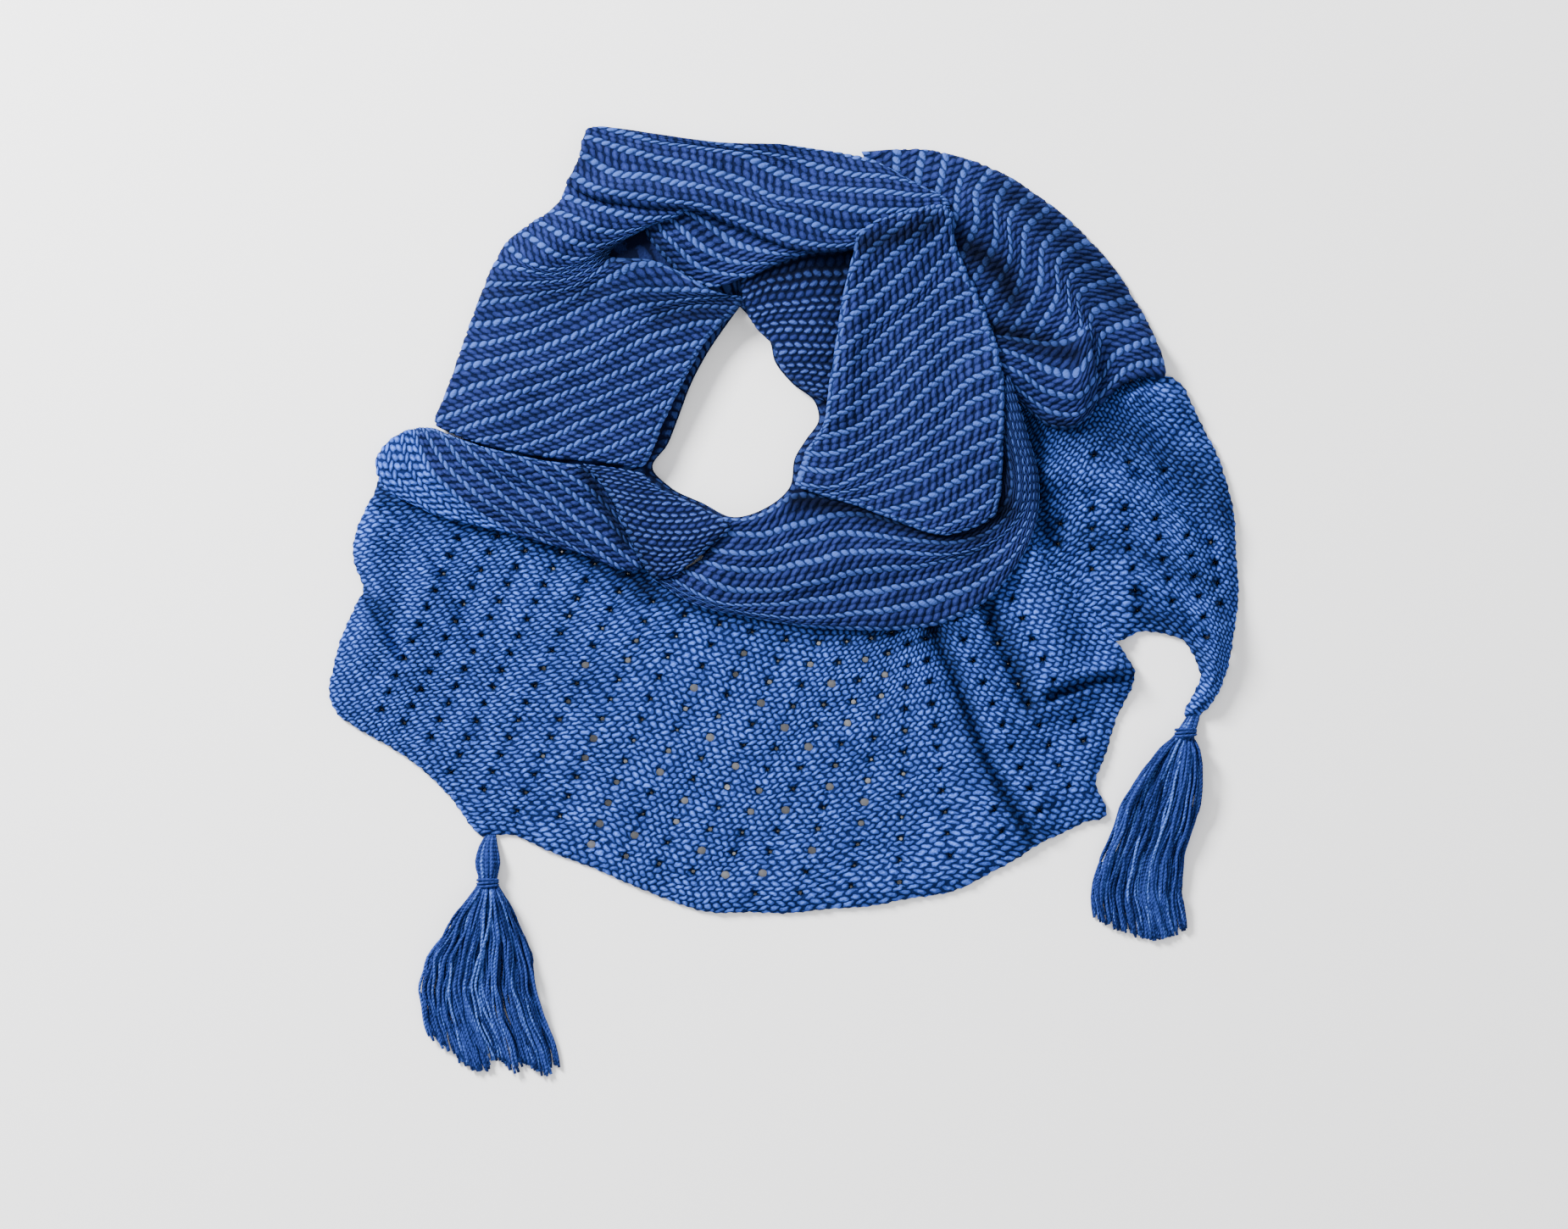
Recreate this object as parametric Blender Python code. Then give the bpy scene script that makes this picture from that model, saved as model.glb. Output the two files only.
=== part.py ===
# A knitted triangular shawl, wound into a neck loop and laid flat, with a lace border and two tassels.
# The plan is drawn on small squares: x runs right and y runs down from the plan's top left corner.
import math

import bmesh
import bpy
import mathutils
import numpy as np

# Driving sizes, metres
SQUARE = 0.00055
GARTER_WALL = 0.0040
LACE_WALL = 0.0032
HIDDEN_HEIGHT = 0.0125
APART = 0.00040
EYELET_WIDE = 9.0
EYELET_TALL = 8.0
HEM = 21.0

# Plan
PLAN_MIDDLE = (924.0, 711.5)
CELL = 2.0
CELLS = 640
PLAN_LEFT = 280.0
PLAN_TOP = 80.0

# Colours, linear
STRIPE_BLUE = (0.035, 0.085, 0.27)
LACE_BLUE = (0.055, 0.16, 0.48)
TASSEL_BLUE = (0.045, 0.13, 0.40)
INSIDE_BLUE = (0.022, 0.045, 0.14)

# Each row is one course of knitting: its number, then points along it in plan squares.
LEFT_ARM = [
    (0, [(746, 552), (755, 551), (763, 548)]),
    (2, [(718, 547), (740, 541), (760, 533), (773, 527)]),
    (4, [(684, 544), (700, 538), (740, 520), (782, 503)]),
    (6, [(645, 540), (680, 525), (740, 499), (797, 472)]),
    (8, [(600, 533), (640, 522), (700, 495), (760, 471), (808, 449)]),
    (10, [(560, 522), (620, 509), (680, 483), (740, 459), (800, 434), (819, 428)]),
    (12, [(534, 511), (600, 491), (660, 469), (720, 446), (780, 418), (833, 404)]),
    (14, [(514, 498), (560, 481), (620, 464), (700, 433), (780, 396), (838, 382), (856, 380)]),
    (16, [(526, 467), (580, 452), (640, 434), (700, 411), (760, 381), (820, 364), (871, 366)]),
    (18, [(536, 438), (580, 428), (640, 413), (700, 388), (740, 369), (800, 357), (874, 352)]),
    (20, [(546, 410), (600, 402), (660, 381), (700, 361), (740, 348), (790, 345), (845, 347)]),
    (22, [(555, 384), (600, 380), (660, 361), (700, 341), (728, 325), (752, 315), (778, 312)]),
    (24, [(564, 360), (600, 356), (640, 349), (680, 339), (705, 324), (724, 306)]),
    (26, [(572, 336), (600, 337), (640, 336), (675, 330), (700, 318), (721, 300)]),
    (28, [(583, 312), (610, 317), (645, 326), (675, 322), (700, 311), (724, 295)]),
    (30, [(597, 288), (620, 309), (650, 320), (675, 317), (702, 305), (729, 290)]),
    (32, [(613, 274), (640, 291), (665, 305), (687, 309), (712, 299), (738, 285)]),
    (34, [(632, 260), (660, 277), (683, 290), (708, 292), (730, 286), (752, 278)]),
    (36, [(650, 249), (680, 261), (702, 271), (727, 277), (750, 274), (772, 268)]),
    (38, [(664, 231), (700, 246), (740, 257), (768, 261), (797, 259)]),
    (39.5, [(672, 212), (700, 228), (740, 238), (780, 245), (815, 249)]),
]

TOP_BAND = [
    (39, [(669, 219), (700, 236), (760, 248), (815, 251), (860, 267), (905, 287), (945, 300),
        (1000, 299), (1050, 285), (1099, 262)]),
    (40, [(676, 206), (700, 224), (760, 237), (820, 246), (860, 258), (905, 277), (945, 290),
        (1000, 293), (1047, 281), (1102, 259)]),
    (42, [(685, 184), (720, 204), (780, 215), (840, 227), (900, 248), (945, 262), (995, 278),
        (1045, 271), (1109, 255)]),
    (44, [(690, 162), (740, 179), (800, 194), (860, 210), (915, 236), (960, 243), (1005, 250),
        (1060, 252), (1118, 248)]),
    (46, [(712, 150), (760, 166), (820, 175), (885, 188), (930, 213), (980, 226), (1020, 228),
        (1065, 232), (1112, 235)]),
    (48, [(838, 167), (880, 177), (935, 189), (975, 201), (1010, 208), (1046, 212), (1080, 219)]),
    (50, [(922, 170), (962, 176), (998, 182), (1026, 190), (1054, 203)]),
]

TOP_PLEAT = [
    (0, [(832, 236), (870, 244), (910, 258), (950, 272), (985, 278)]),
    (2, [(812, 242), (840, 250), (870, 262), (910, 279), (945, 292), (974, 295)]),
    (4, [(800, 247), (825, 260), (850, 279), (880, 294), (910, 302), (944, 304)]),
    (6, [(785, 254), (805, 272), (825, 293), (850, 306), (880, 314), (915, 314)]),
    (8, [(772, 260), (786, 280), (803, 298), (825, 316), (855, 326), (886, 328)]),
    (10, [(758, 266), (768, 284), (784, 305), (804, 324), (824, 336), (842, 342)]),
]

NECK_INSIDE = [
    (0, [(872, 328), (910, 306), (955, 288), (1012, 278)]),
    (2, [(876, 347), (912, 334), (958, 326), (1010, 322)]),
    (4, [(881, 368), (918, 361), (960, 357), (1006, 355)]),
    (6, [(893, 388), (932, 383), (965, 383), (1000, 385)]),
    (8, [(913, 410), (942, 408), (970, 410), (996, 413)]),
    (10, [(922, 434), (948, 433), (972, 435), (993, 439)]),
    (12, [(941, 453), (957, 454), (974, 457), (991, 462)]),
    (14, [(966, 471), (974, 474), (982, 476), (989, 479)]),
]

RIGHT_FRONT = [
    (0, [(1010, 284), (1022, 272), (1036, 262)]),
    (2, [(1001, 324), (1025, 302), (1045, 284), (1068, 262), (1080, 250)]),
    (4, [(993, 358), (1005, 348), (1030, 326), (1055, 302), (1085, 276), (1107, 246)]),
    (6, [(989, 388), (1010, 372), (1045, 345), (1085, 303), (1105, 284), (1122, 256)]),
    (8, [(984, 420), (1005, 405), (1045, 373), (1085, 341), (1108, 314), (1127, 292)]),
    (10, [(979, 450), (1005, 430), (1045, 395), (1085, 362), (1112, 338), (1137, 318)]),
    (12, [(976, 478), (1005, 455), (1045, 425), (1085, 390), (1120, 360), (1150, 343)]),
    (14, [(972, 501), (1005, 482), (1045, 451), (1085, 413), (1125, 383), (1159, 366)]),
    (16, [(961, 519), (1005, 507), (1045, 479), (1085, 441), (1125, 406), (1167, 387)]),
    (18, [(950, 535), (985, 536), (1025, 517), (1065, 488), (1105, 451), (1145, 421), (1174, 410)]),
    (20, [(944, 553), (985, 557), (1025, 536), (1065, 513), (1105, 483), (1145, 450), (1180, 434)]),
    (22, [(940, 573), (985, 575), (1025, 556), (1065, 535), (1105, 508), (1145, 477), (1182, 460)]),
    (24, [(970, 585), (1010, 578), (1045, 563), (1085, 543), (1125, 516), (1182, 488)]),
    (26, [(1000, 594), (1045, 583), (1085, 566), (1125, 542), (1182, 514)]),
    (28, [(1034, 606), (1080, 594), (1125, 570), (1155, 551), (1181, 538)]),
    (30, [(1066, 619), (1105, 607), (1145, 584), (1180, 563)]),
    (32, [(1094, 629), (1130, 616), (1158, 600), (1179, 584)]),
    (34, [(1116, 632), (1138, 626), (1160, 616), (1174, 606)]),
]

FRONT_ROLL = [
    (0, [(852, 612), (880, 613), (905, 604), (937, 584), (985, 588), (1050, 604), (1110, 612),
        (1155, 600), (1176, 570), (1176, 520), (1166, 474)]),
    (2, [(848, 630), (900, 630), (950, 617), (1000, 607), (1060, 616), (1115, 626), (1165, 614),
        (1190, 585), (1190, 545), (1180, 500), (1170, 468)]),
    (4, [(838, 648), (890, 654), (950, 640), (1000, 630), (1060, 636), (1120, 641), (1170, 625),
        (1198, 592), (1199, 552), (1188, 505), (1174, 462)]),
    (6, [(826, 662), (885, 674), (950, 664), (1000, 652), (1060, 652), (1122, 654), (1175, 636),
        (1204, 600), (1206, 556), (1194, 507), (1178, 457)]),
    (8, [(806, 672), (850, 692), (900, 697), (960, 688), (1020, 674), (1080, 668), (1140, 654),
        (1185, 628), (1210, 597), (1212, 558), (1199, 509), (1182, 453)]),
    (10, [(792, 682), (840, 709), (900, 714), (960, 708), (1020, 699), (1080, 689), (1140, 673),
        (1189, 643), (1214, 604), (1217, 561), (1203, 510), (1184, 450)]),
    (12, [(778, 684), (820, 706), (880, 723), (940, 729), (1000, 725), (1060, 718), (1110, 706),
        (1155, 687), (1190, 661), (1217, 613), (1221, 565), (1207, 512), (1186, 447)]),
    (14, [(770, 683), (820, 713), (880, 727), (940, 737), (1000, 742), (1060, 742), (1110, 735),
        (1156, 713), (1190, 679), (1219, 622), (1224, 570), (1211, 515), (1188, 444)]),
]

LEFT_FRONT = [
    (0, [(684, 549), (696, 557), (714, 573)]),
    (2, [(646, 545), (668, 559), (704, 585), (738, 620)]),
    (4, [(608, 537), (640, 557), (680, 586), (716, 614), (752, 650)]),
    (6, [(574, 529), (600, 552), (640, 580), (700, 627), (757, 670)]),
    (8, [(544, 519), (580, 553), (620, 583), (680, 630), (733, 672)]),
    (10, [(516, 507), (550, 548), (600, 590), (650, 629), (693, 656)]),
    (12, [(500, 505), (520, 540), (560, 580), (610, 616), (650, 643)]),
    (14, [(488, 506), (505, 547), (540, 586), (575, 611), (608, 631)]),
    (16, [(474, 511), (488, 556), (520, 590), (562, 620)]),
    (18, [(456, 523), (468, 563), (492, 588), (518, 609)]),
    (20, [(443, 541), (450, 568), (464, 583), (482, 593)]),
]

TURNED_BACK = [
    (0, [(691, 549), (725, 553), (761, 560)]),
    (2, [(704, 562), (741, 568), (778, 577)]),
    (4, [(716, 578), (762, 587), (808, 590)]),
    (6, [(727, 598), (784, 609), (838, 605)]),
    (8, [(737, 620), (798, 630), (862, 620)]),
    (10, [(747, 643), (798, 650), (846, 639)]),
    (12, [(757, 663), (792, 666), (824, 658)]),
    (14, [(770, 682), (785, 682), (800, 677)]),
]

BACK_ARC = [
    (0, [(1013, 181), (1020, 200), (1032, 232)]),
    (4, [(1062, 177), (1066, 200), (1068, 238)]),
    (8, [(1108, 180), (1106, 210), (1096, 248)]),
    (12, [(1150, 190), (1134, 228), (1124, 262), (1112, 285)]),
    (14, [(1178, 201), (1153, 238), (1148, 282), (1124, 318)]),
    (16, [(1205, 217), (1174, 248), (1172, 292), (1138, 345)]),
    (18, [(1230, 234), (1197, 270), (1198, 312), (1150, 374)]),
    (20, [(1254, 256), (1222, 296), (1218, 338), (1162, 400)]),
    (22, [(1277, 278), (1242, 322), (1238, 358), (1180, 412)]),
    (24, [(1300, 304), (1260, 344), (1256, 378), (1212, 420)]),
    (26, [(1322, 331), (1277, 364), (1272, 396), (1240, 432)]),
    (28, [(1342, 360), (1298, 388), (1286, 416), (1262, 448)]),
    (30, [(1359, 393), (1318, 411), (1296, 436), (1278, 464)]),
    (32, [(1371, 430), (1338, 436), (1310, 450), (1290, 474)]),
    (33, [(1374, 446), (1345, 447), (1318, 458), (1298, 480)]),
]

ARC_FOLD = [
    (0, [(1160, 396), (1205, 402), (1240, 406), (1264, 400), (1280, 388)]),
    (2, [(1163, 411), (1205, 423), (1237, 440), (1264, 442), (1287, 418)]),
    (4, [(1168, 426), (1207, 446), (1240, 466), (1268, 470), (1292, 446)]),
    (6, [(1176, 442), (1212, 470), (1242, 489), (1268, 490), (1292, 470)]),
    (8, [(1184, 458), (1216, 488), (1240, 504), (1264, 505), (1288, 488)]),
]

LACE_FRONT = [
    (443, 580), (430, 606), (418, 634), (416, 655), (421, 672), (430, 694), (419, 715), (405, 745),
        (395, 785),
    (388, 820), (396, 840), (420, 857), (460, 882), (500, 908), (530, 940), (553, 970), (566, 984),
        (600, 985),
    (640, 1000), (700, 1025), (750, 1045), (790, 1063), (830, 1074), (900, 1077), (980, 1073),
        (1060, 1063),
    (1140, 1045), (1190, 1018), (1225, 996), (1253, 984), (1280, 969), (1305, 961), (1303, 946),
        (1294, 928),
    (1304, 888), (1319, 845), (1334, 812), (1338, 793), (1331, 778), (1318, 757), (1290, 722),
        (1258, 690),
    (1228, 655), (1206, 628), (1190, 648), (1160, 672), (1110, 700), (1040, 706), (960, 702), (880, 690),
    (820, 678), (770, 648), (700, 622), (620, 600), (560, 588), (500, 570), (465, 562), (450, 562),
]

LACE_SIDE = [
    (1302, 462), (1330, 450), (1372, 442), (1395, 455), (1408, 480), (1420, 508), (1440, 545),
        (1452, 590),
    (1458, 640), (1460, 690), (1456, 750), (1445, 795), (1431, 828), (1412, 846), (1397, 846),
        (1405, 825),
    (1415, 800), (1406, 772), (1397, 756), (1372, 747), (1345, 746), (1319, 756.2), (1291.2, 721.2),
    (1259.2, 689.2), (1229.2, 654.2), (1208, 627), (1200, 590), (1200, 560), (1192, 520),
        (1196, 490), (1222, 470), (1262, 464),
]

HIDDEN_OUTSIDE = [
    (712, 176), (780, 186), (860, 196), (940, 198), (1010, 204), (1090, 200), (1140, 214),
        (1185, 240), (1225, 276),
    (1262, 318), (1288, 352), (1306, 386), (1312, 414), (1290, 436), (1262, 448), (1222, 452),
        (1196, 476),
    (1178, 510), (1190, 560), (1190, 600), (1172, 640), (1130, 672), (1060, 688), (980, 686), (900, 674),
    (840, 660), (790, 636), (740, 604), (680, 586), (610, 574), (560, 556), (545, 540), (552, 505),
        (566, 460),
    (582, 400), (598, 345), (622, 300), (662, 268), (690, 232), (702, 200),
]
HIDDEN_INSIDE = [
    (873, 362), (892, 382), (908, 402), (914, 426), (934, 452), (962, 476), (966, 494), (950, 520),
        (938, 540),
    (932, 574), (902, 600), (864, 610), (830, 594), (790, 574), (770, 552), (788, 524), (800, 494),
        (816, 452),
    (834, 418), (854, 388),
]

# Ridges and hollows of a piece: height in metres, half width in squares, line in squares.
FOLDS = {
    "top_band": [
        (0.0045, 20, [(700, 225), (770, 228), (840, 230), (930, 250), (1060, 246)]),
        (0.0030, 20, [(700, 178), (780, 190), (900, 196)]),
    ],
    "left_arm": [
        (0.0050, 18, [(640, 300), (700, 268), (770, 246)]),
        (0.0040, 14, [(735, 345), (762, 328), (800, 340)]),
        (0.0025, 26, [(590, 470), (660, 430), (740, 400)]),
        (0.0020, 20, [(600, 330), (640, 300)]),
    ],
    "top_pleat": [(0.0035, 13, [(800, 286), (850, 302), (910, 302), (980, 288)])],
    "right_front": [
        (0.0045, 26, [(1060, 310), (1085, 400), (1085, 500), (1100, 580)]),
        (0.0030, 16, [(1000, 380), (1000, 480)]),
        (0.0025, 14, [(980, 556), (1050, 580), (1120, 610)]),
    ],
    "front_roll": [
        (0.0050, 22, [(840, 668), (930, 676), (1020, 664), (1110, 660), (1180, 624), (1206, 570),
            (1196, 510)]),
        (0.0025, 12, [(900, 712), (1020, 714), (1120, 696)]),
    ],
    "left_front": [
        (0.0045, 16, [(470, 540), (520, 560), (580, 588), (650, 612), (715, 640)]),
        (0.0020, 14, [(560, 540), (640, 560), (690, 580)]),
    ],
    "turned_back": [(0.0030, 16, [(735, 580), (790, 620), (815, 640)])],
    "neck_inside": [(0.0015, 12, [(920, 372), (980, 372)])],
    "back_arc": [
        (0.0070, 20, [(1140, 236), (1185, 268), (1222, 304), (1254, 346), (1276, 384), (1288, 420)]),
        (0.0025, 14, [(1160, 206), (1235, 258), (1300, 330), (1345, 400)]),
    ],
    "arc_fold": [(0.0045, 14, [(1200, 440), (1240, 462), (1270, 462), (1288, 436)])],
    "lace": [
        (0.0100, 26, [(1212, 650), (1236, 700), (1246, 760), (1250, 810)]),
        (0.0060, 16, [(1135, 745), (1165, 820), (1195, 880), (1225, 940)]),
        (0.0045, 18, [(1080, 760), (1102, 840), (1130, 920), (1165, 985)]),
        (0.0070, 12, [(1262, 812), (1295, 795), (1328, 782)]),
        (0.0060, 22, [(450, 600), (440, 650), (452, 700), (436, 770)]),
        (0.0035, 24, [(520, 640), (500, 720), (470, 800)]),
        (0.0025, 40, [(620, 740), (700, 900), (760, 1010)]),
        (0.0025, 40, [(860, 780), (930, 900), (960, 1020)]),
        (0.0020, 16, [(600, 1000), (760, 1055), (900, 1064), (1100, 1046)]),
        (0.0080, 18, [(1300, 452), (1350, 462), (1398, 482)]),
        (0.0090, 20, [(1216, 560), (1290, 566), (1352, 592), (1398, 640), (1424, 700), (1434, 770),
            (1420, 826)]),
        (0.0050, 14, [(1270, 640), (1330, 668), (1372, 700), (1400, 730)]),
        (0.0040, 14, [(1430, 560), (1446, 640), (1448, 720)]),
    ],
}

# Eyelets of the front lace: the column's place on the middle row, and the step from one row to the next.
EYELET_COLUMNS = [
    (443, 857, -9, 20.0), (478, 853, -10, 20.0), (520, 850, -10, 20.0), (563, 851, -10, 20.0),
        (612, 850, -10, 20.5),
    (661, 849, -10, 21.5), (711, 848, -10, 23.0), (758, 849, -10, 24.5), (799, 861, -10, 24.8),
        (838, 870, -10, 24.8),
    (878, 879, -10, 24.8), (916, 883, -10, 24.8), (954, 881, -9, 24.8), (993, 878, -7, 25.0),
        (1032, 871, -4, 25.0),
    (1068, 862, -1, 25.5), (1103, 856, 3, 25.5), (1141, 853, 8, 25.5), (1181, 855, 11, 25.0),
        (1225, 855, 12, 24.0),
    (1266, 850, 12, 24.0),
]
EYELET_ROWS = range(-11, 10)
# Eyelets of the side lace: column starts and the step down.
SIDE_COLUMNS = [
    (1250, 618, -2, 24.0), (1288, 600, 0, 24.0), (1326, 600, 3, 24.0), (1362, 612, 5, 24.0),
        (1398, 632, 5, 24.0),
    (1428, 640, 3, 24.0),
]
SIDE_ROWS = range(0, 6)
SIDE_LIGHT = [(1290, 538), (1331, 546), (1372, 556)]
EYELET_FREE = [
    [(1100, 745), (1120, 780), (1140, 850), (1160, 900), (1190, 950), (1215, 985)],
    [(1240, 822), (1290, 806), (1335, 796)],
]

# Tassels: the head's rings (y, middle x, half width, height), then the skirt (y, left, right).
LEFT_TASSEL = {
    "head": [(986.4, 580, 10, 0.0070), (1003, 576, 11, 0.0080), (1022, 576, 15, 0.0110),
        (1036, 576, 13.5, 0.0105), (1042, 576, 11.5, 0.0095), (1056, 575, 20, 0.0125)],
    "skirt": [(1056, 556, 594), (1080, 533, 611), (1105, 520, 622), (1130, 503, 629),
        (1165, 494, 632), (1200, 497, 643), (1235, 508, 657), (1272, 520, 663)],
    "ends": [1222, 1243, 1262, 1266, 1250, 1270, 1256, 1271, 1258],
}
RIGHT_TASSEL = {
    "head": [(847.3, 1404, 8.5, 0.0065), (856, 1402, 10, 0.0080), (864, 1398, 11.5, 0.0095),
        (872, 1396, 14, 0.0105), (880, 1392, 22, 0.0125)],
    "skirt": [(880, 1369, 1415), (905, 1346, 1419), (930, 1331, 1419), (950, 1321, 1415),
        (980, 1312, 1405), (1010, 1298, 1396), (1050, 1285, 1394), (1085, 1290, 1399),
        (1112, 1298, 1401)],
    "ends": [1084, 1094, 1100, 1104, 1108, 1110, 1107, 1106, 1098],
}
STRANDS_ACROSS = 9
STRANDS_UP = 4
STRAND_STEPS = 6


def chord_places(points):
    steps = np.linalg.norm(np.diff(points, axis=0), axis=1)
    run = np.concatenate([[0.0], np.cumsum(steps)])
    return run / run[-1]


def curve(known, values, wanted):
    """Smooth values through the known places, read at the wanted ones."""
    known = np.asarray(known, float)
    values = np.asarray(values, float)
    wanted = np.asarray(wanted, float)
    gaps = np.diff(known)
    rises = np.diff(values, axis=0) / gaps.reshape(-1, *([1] * (values.ndim - 1)))
    slopes = np.empty_like(values)
    slopes[0] = rises[0]
    slopes[-1] = rises[-1]
    for index in range(1, len(known) - 1):
        share = gaps[index] / (gaps[index] + gaps[index - 1])
        slopes[index] = rises[index - 1] * share + rises[index] * (1 - share)
    span = np.clip(np.searchsorted(known, wanted, side="right") - 1, 0, len(gaps) - 1)
    shape = (-1, *([1] * (values.ndim - 1)))
    step = gaps[span].reshape(shape)
    t = ((wanted - known[span]) / gaps[span]).reshape(shape)
    first = (2 * t**3 - 3 * t**2 + 1) * values[span] + (t**3 - 2 * t**2 + t) * step * slopes[span]
    return first + (3 * t**2 - 2 * t**3) * values[span + 1] + (t**3 - t**2) * step * slopes[span + 1]


def courses(table, across, along):
    """A grid of plan points, along x across, through a table of courses."""
    sampled = []
    for _, points in table:
        points = np.asarray(points, float)
        sampled.append(curve(chord_places(points), points, np.linspace(0, 1, across + 1)))
    numbers = [row[0] for row in table]
    return curve(numbers, np.stack(sampled), np.linspace(numbers[0], numbers[-1], along + 1))


def grid_piece(table, across, along):
    grid = courses(table, across, along)
    points = grid.reshape(-1, 2)
    triangles = []
    for row in range(along):
        for column in range(across):
            a = row * (across + 1) + column
            b = a + 1
            c = b + across + 1
            d = a + across + 1
            one = [(a, b, c), (a, c, d)]
            other = [(a, b, d), (b, c, d)]
            triangles += max(one, other, key=lambda pair: smallest(points, pair))
    return points, turned_up(points, triangles)


def smallest(points, pair):
    """The smaller area of two triangles that share a diagonal; negative where they fold over each other."""
    areas = []
    for a, b, c in pair:
        ab = points[b] - points[a]
        ac = points[c] - points[a]
        areas.append(ab[0] * ac[1] - ab[1] * ac[0])
    return min(abs(areas[0]), abs(areas[1])) if areas[0] * areas[1] > 0 else -1.0


def turned_up(points, triangles):
    """Winds every plan triangle so that it faces up once the plan's y is turned over."""
    wound = []
    for a, b, c in triangles:
        ab = points[b] - points[a]
        ac = points[c] - points[a]
        area = ab[0] * ac[1] - ab[1] * ac[0]
        wound.append((a, c, b) if area > 0 else (a, b, c))
    return np.array(wound)


def inside(point, outline):
    x, y = point
    hit = False
    for (ax, ay), (bx, by) in zip(outline, np.roll(outline, -1, axis=0)):
        if (ay > y) != (by > y) and x < (bx - ax) * (y - ay) / (by - ay) + ax:
            hit = not hit
    return hit


def distance(points, line):
    """Distance from each point to a line of points."""
    points = np.asarray(points, float)
    line = np.asarray(line, float)
    best = np.full(len(points), 1e9)
    for a, b in zip(line[:-1], line[1:]):
        along = b - a
        t = np.clip(((points - a) @ along) / (along @ along), 0, 1)
        best = np.minimum(best, np.linalg.norm(points - (a + t[:, None] * along), axis=1))
    return best


def cut_piece(outline, windows, spacing):
    """A triangulated plan of an outline with windows cut out and loose points between them."""
    outline = np.asarray(outline, float)
    closed = np.vstack([outline, outline[:1]])
    loops = [outline] + [np.asarray(window, float) for window in windows]
    middles = np.array([window.mean(axis=0) for window in loops[1:]]) if windows else np.empty((0, 2))
    low = outline.min(axis=0)
    high = outline.max(axis=0)
    loose = []
    for row, y in enumerate(np.arange(low[1] + spacing / 2, high[1], spacing)):
        for x in np.arange(low[0] + (row % 2) * spacing / 2, high[0], spacing):
            near = distance([(x, y)], closed)[0] < spacing * 0.45
            if near or not inside((x, y), outline):
                continue
            if len(middles) and np.min(np.linalg.norm(middles - (x, y), axis=1)) < spacing * 0.62:
                continue
            loose.append((x, y))
    points = []
    edges = []
    for loop in loops:
        start = len(points)
        points += [tuple(point) for point in loop]
        edges += [(start + i, start + (i + 1) % len(loop)) for i in range(len(loop))]
    points += loose
    vectors = [mathutils.Vector(point) for point in points]
    result = mathutils.geometry.delaunay_2d_cdt(vectors, edges, [], 0, 1e-6)
    found = np.array([tuple(vector) for vector in result[0]])
    kept = []
    for face in result[2]:
        middle = found[list(face)].mean(axis=0)
        if not inside(middle, outline):
            continue
        if any(inside(middle, window) for window in near_windows(middle, loops[1:], middles)):
            continue
        kept.append(tuple(face))
    return found, turned_up(found, kept)


def near_windows(point, windows, middles):
    if not len(middles):
        return []
    if len(windows) == 1:
        return windows
    close = np.nonzero(np.linalg.norm(middles - point, axis=1) < 14)[0]
    return [windows[index] for index in close]


def eyelets(outline, columns, rows, extra, free, margin):
    """Four-sided eyelets on a slanted lattice, kept clear of the outline and of the creases."""
    outline = np.asarray(outline, float)
    closed = np.vstack([outline, outline[:1]])
    places = []
    for x, y, step_x, step_y in columns:
        for row in rows:
            places.append((x + row * step_x, y + row * step_y, step_x, step_y))
    places += [(x, y, 0.0, 24.0) for x, y in extra]
    windows = []
    for x, y, step_x, step_y in places:
        if not inside((x, y), outline) or distance([(x, y)], closed)[0] < margin:
            continue
        if any(distance([(x, y)], line)[0] < 11 for line in free):
            continue
        lean = step_x / step_y
        half_x = EYELET_WIDE / 2
        half_y = EYELET_TALL / 2
        corners = [(-half_x, -half_y), (half_x, -half_y), (half_x, half_y), (-half_x, half_y)]
        windows.append(np.array([(x + dx + lean * dy, y + dy) for dx, dy in corners]))
    return windows


def fold_height(name, points):
    total = np.zeros(len(points))
    for height, half_width, line in FOLDS.get(name, []):
        reach = distance(points, line) / half_width
        rise = height * np.exp(-(reach**2))
        total = np.maximum(total, rise) + 0.35 * np.minimum(total, rise)
    return total


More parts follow.
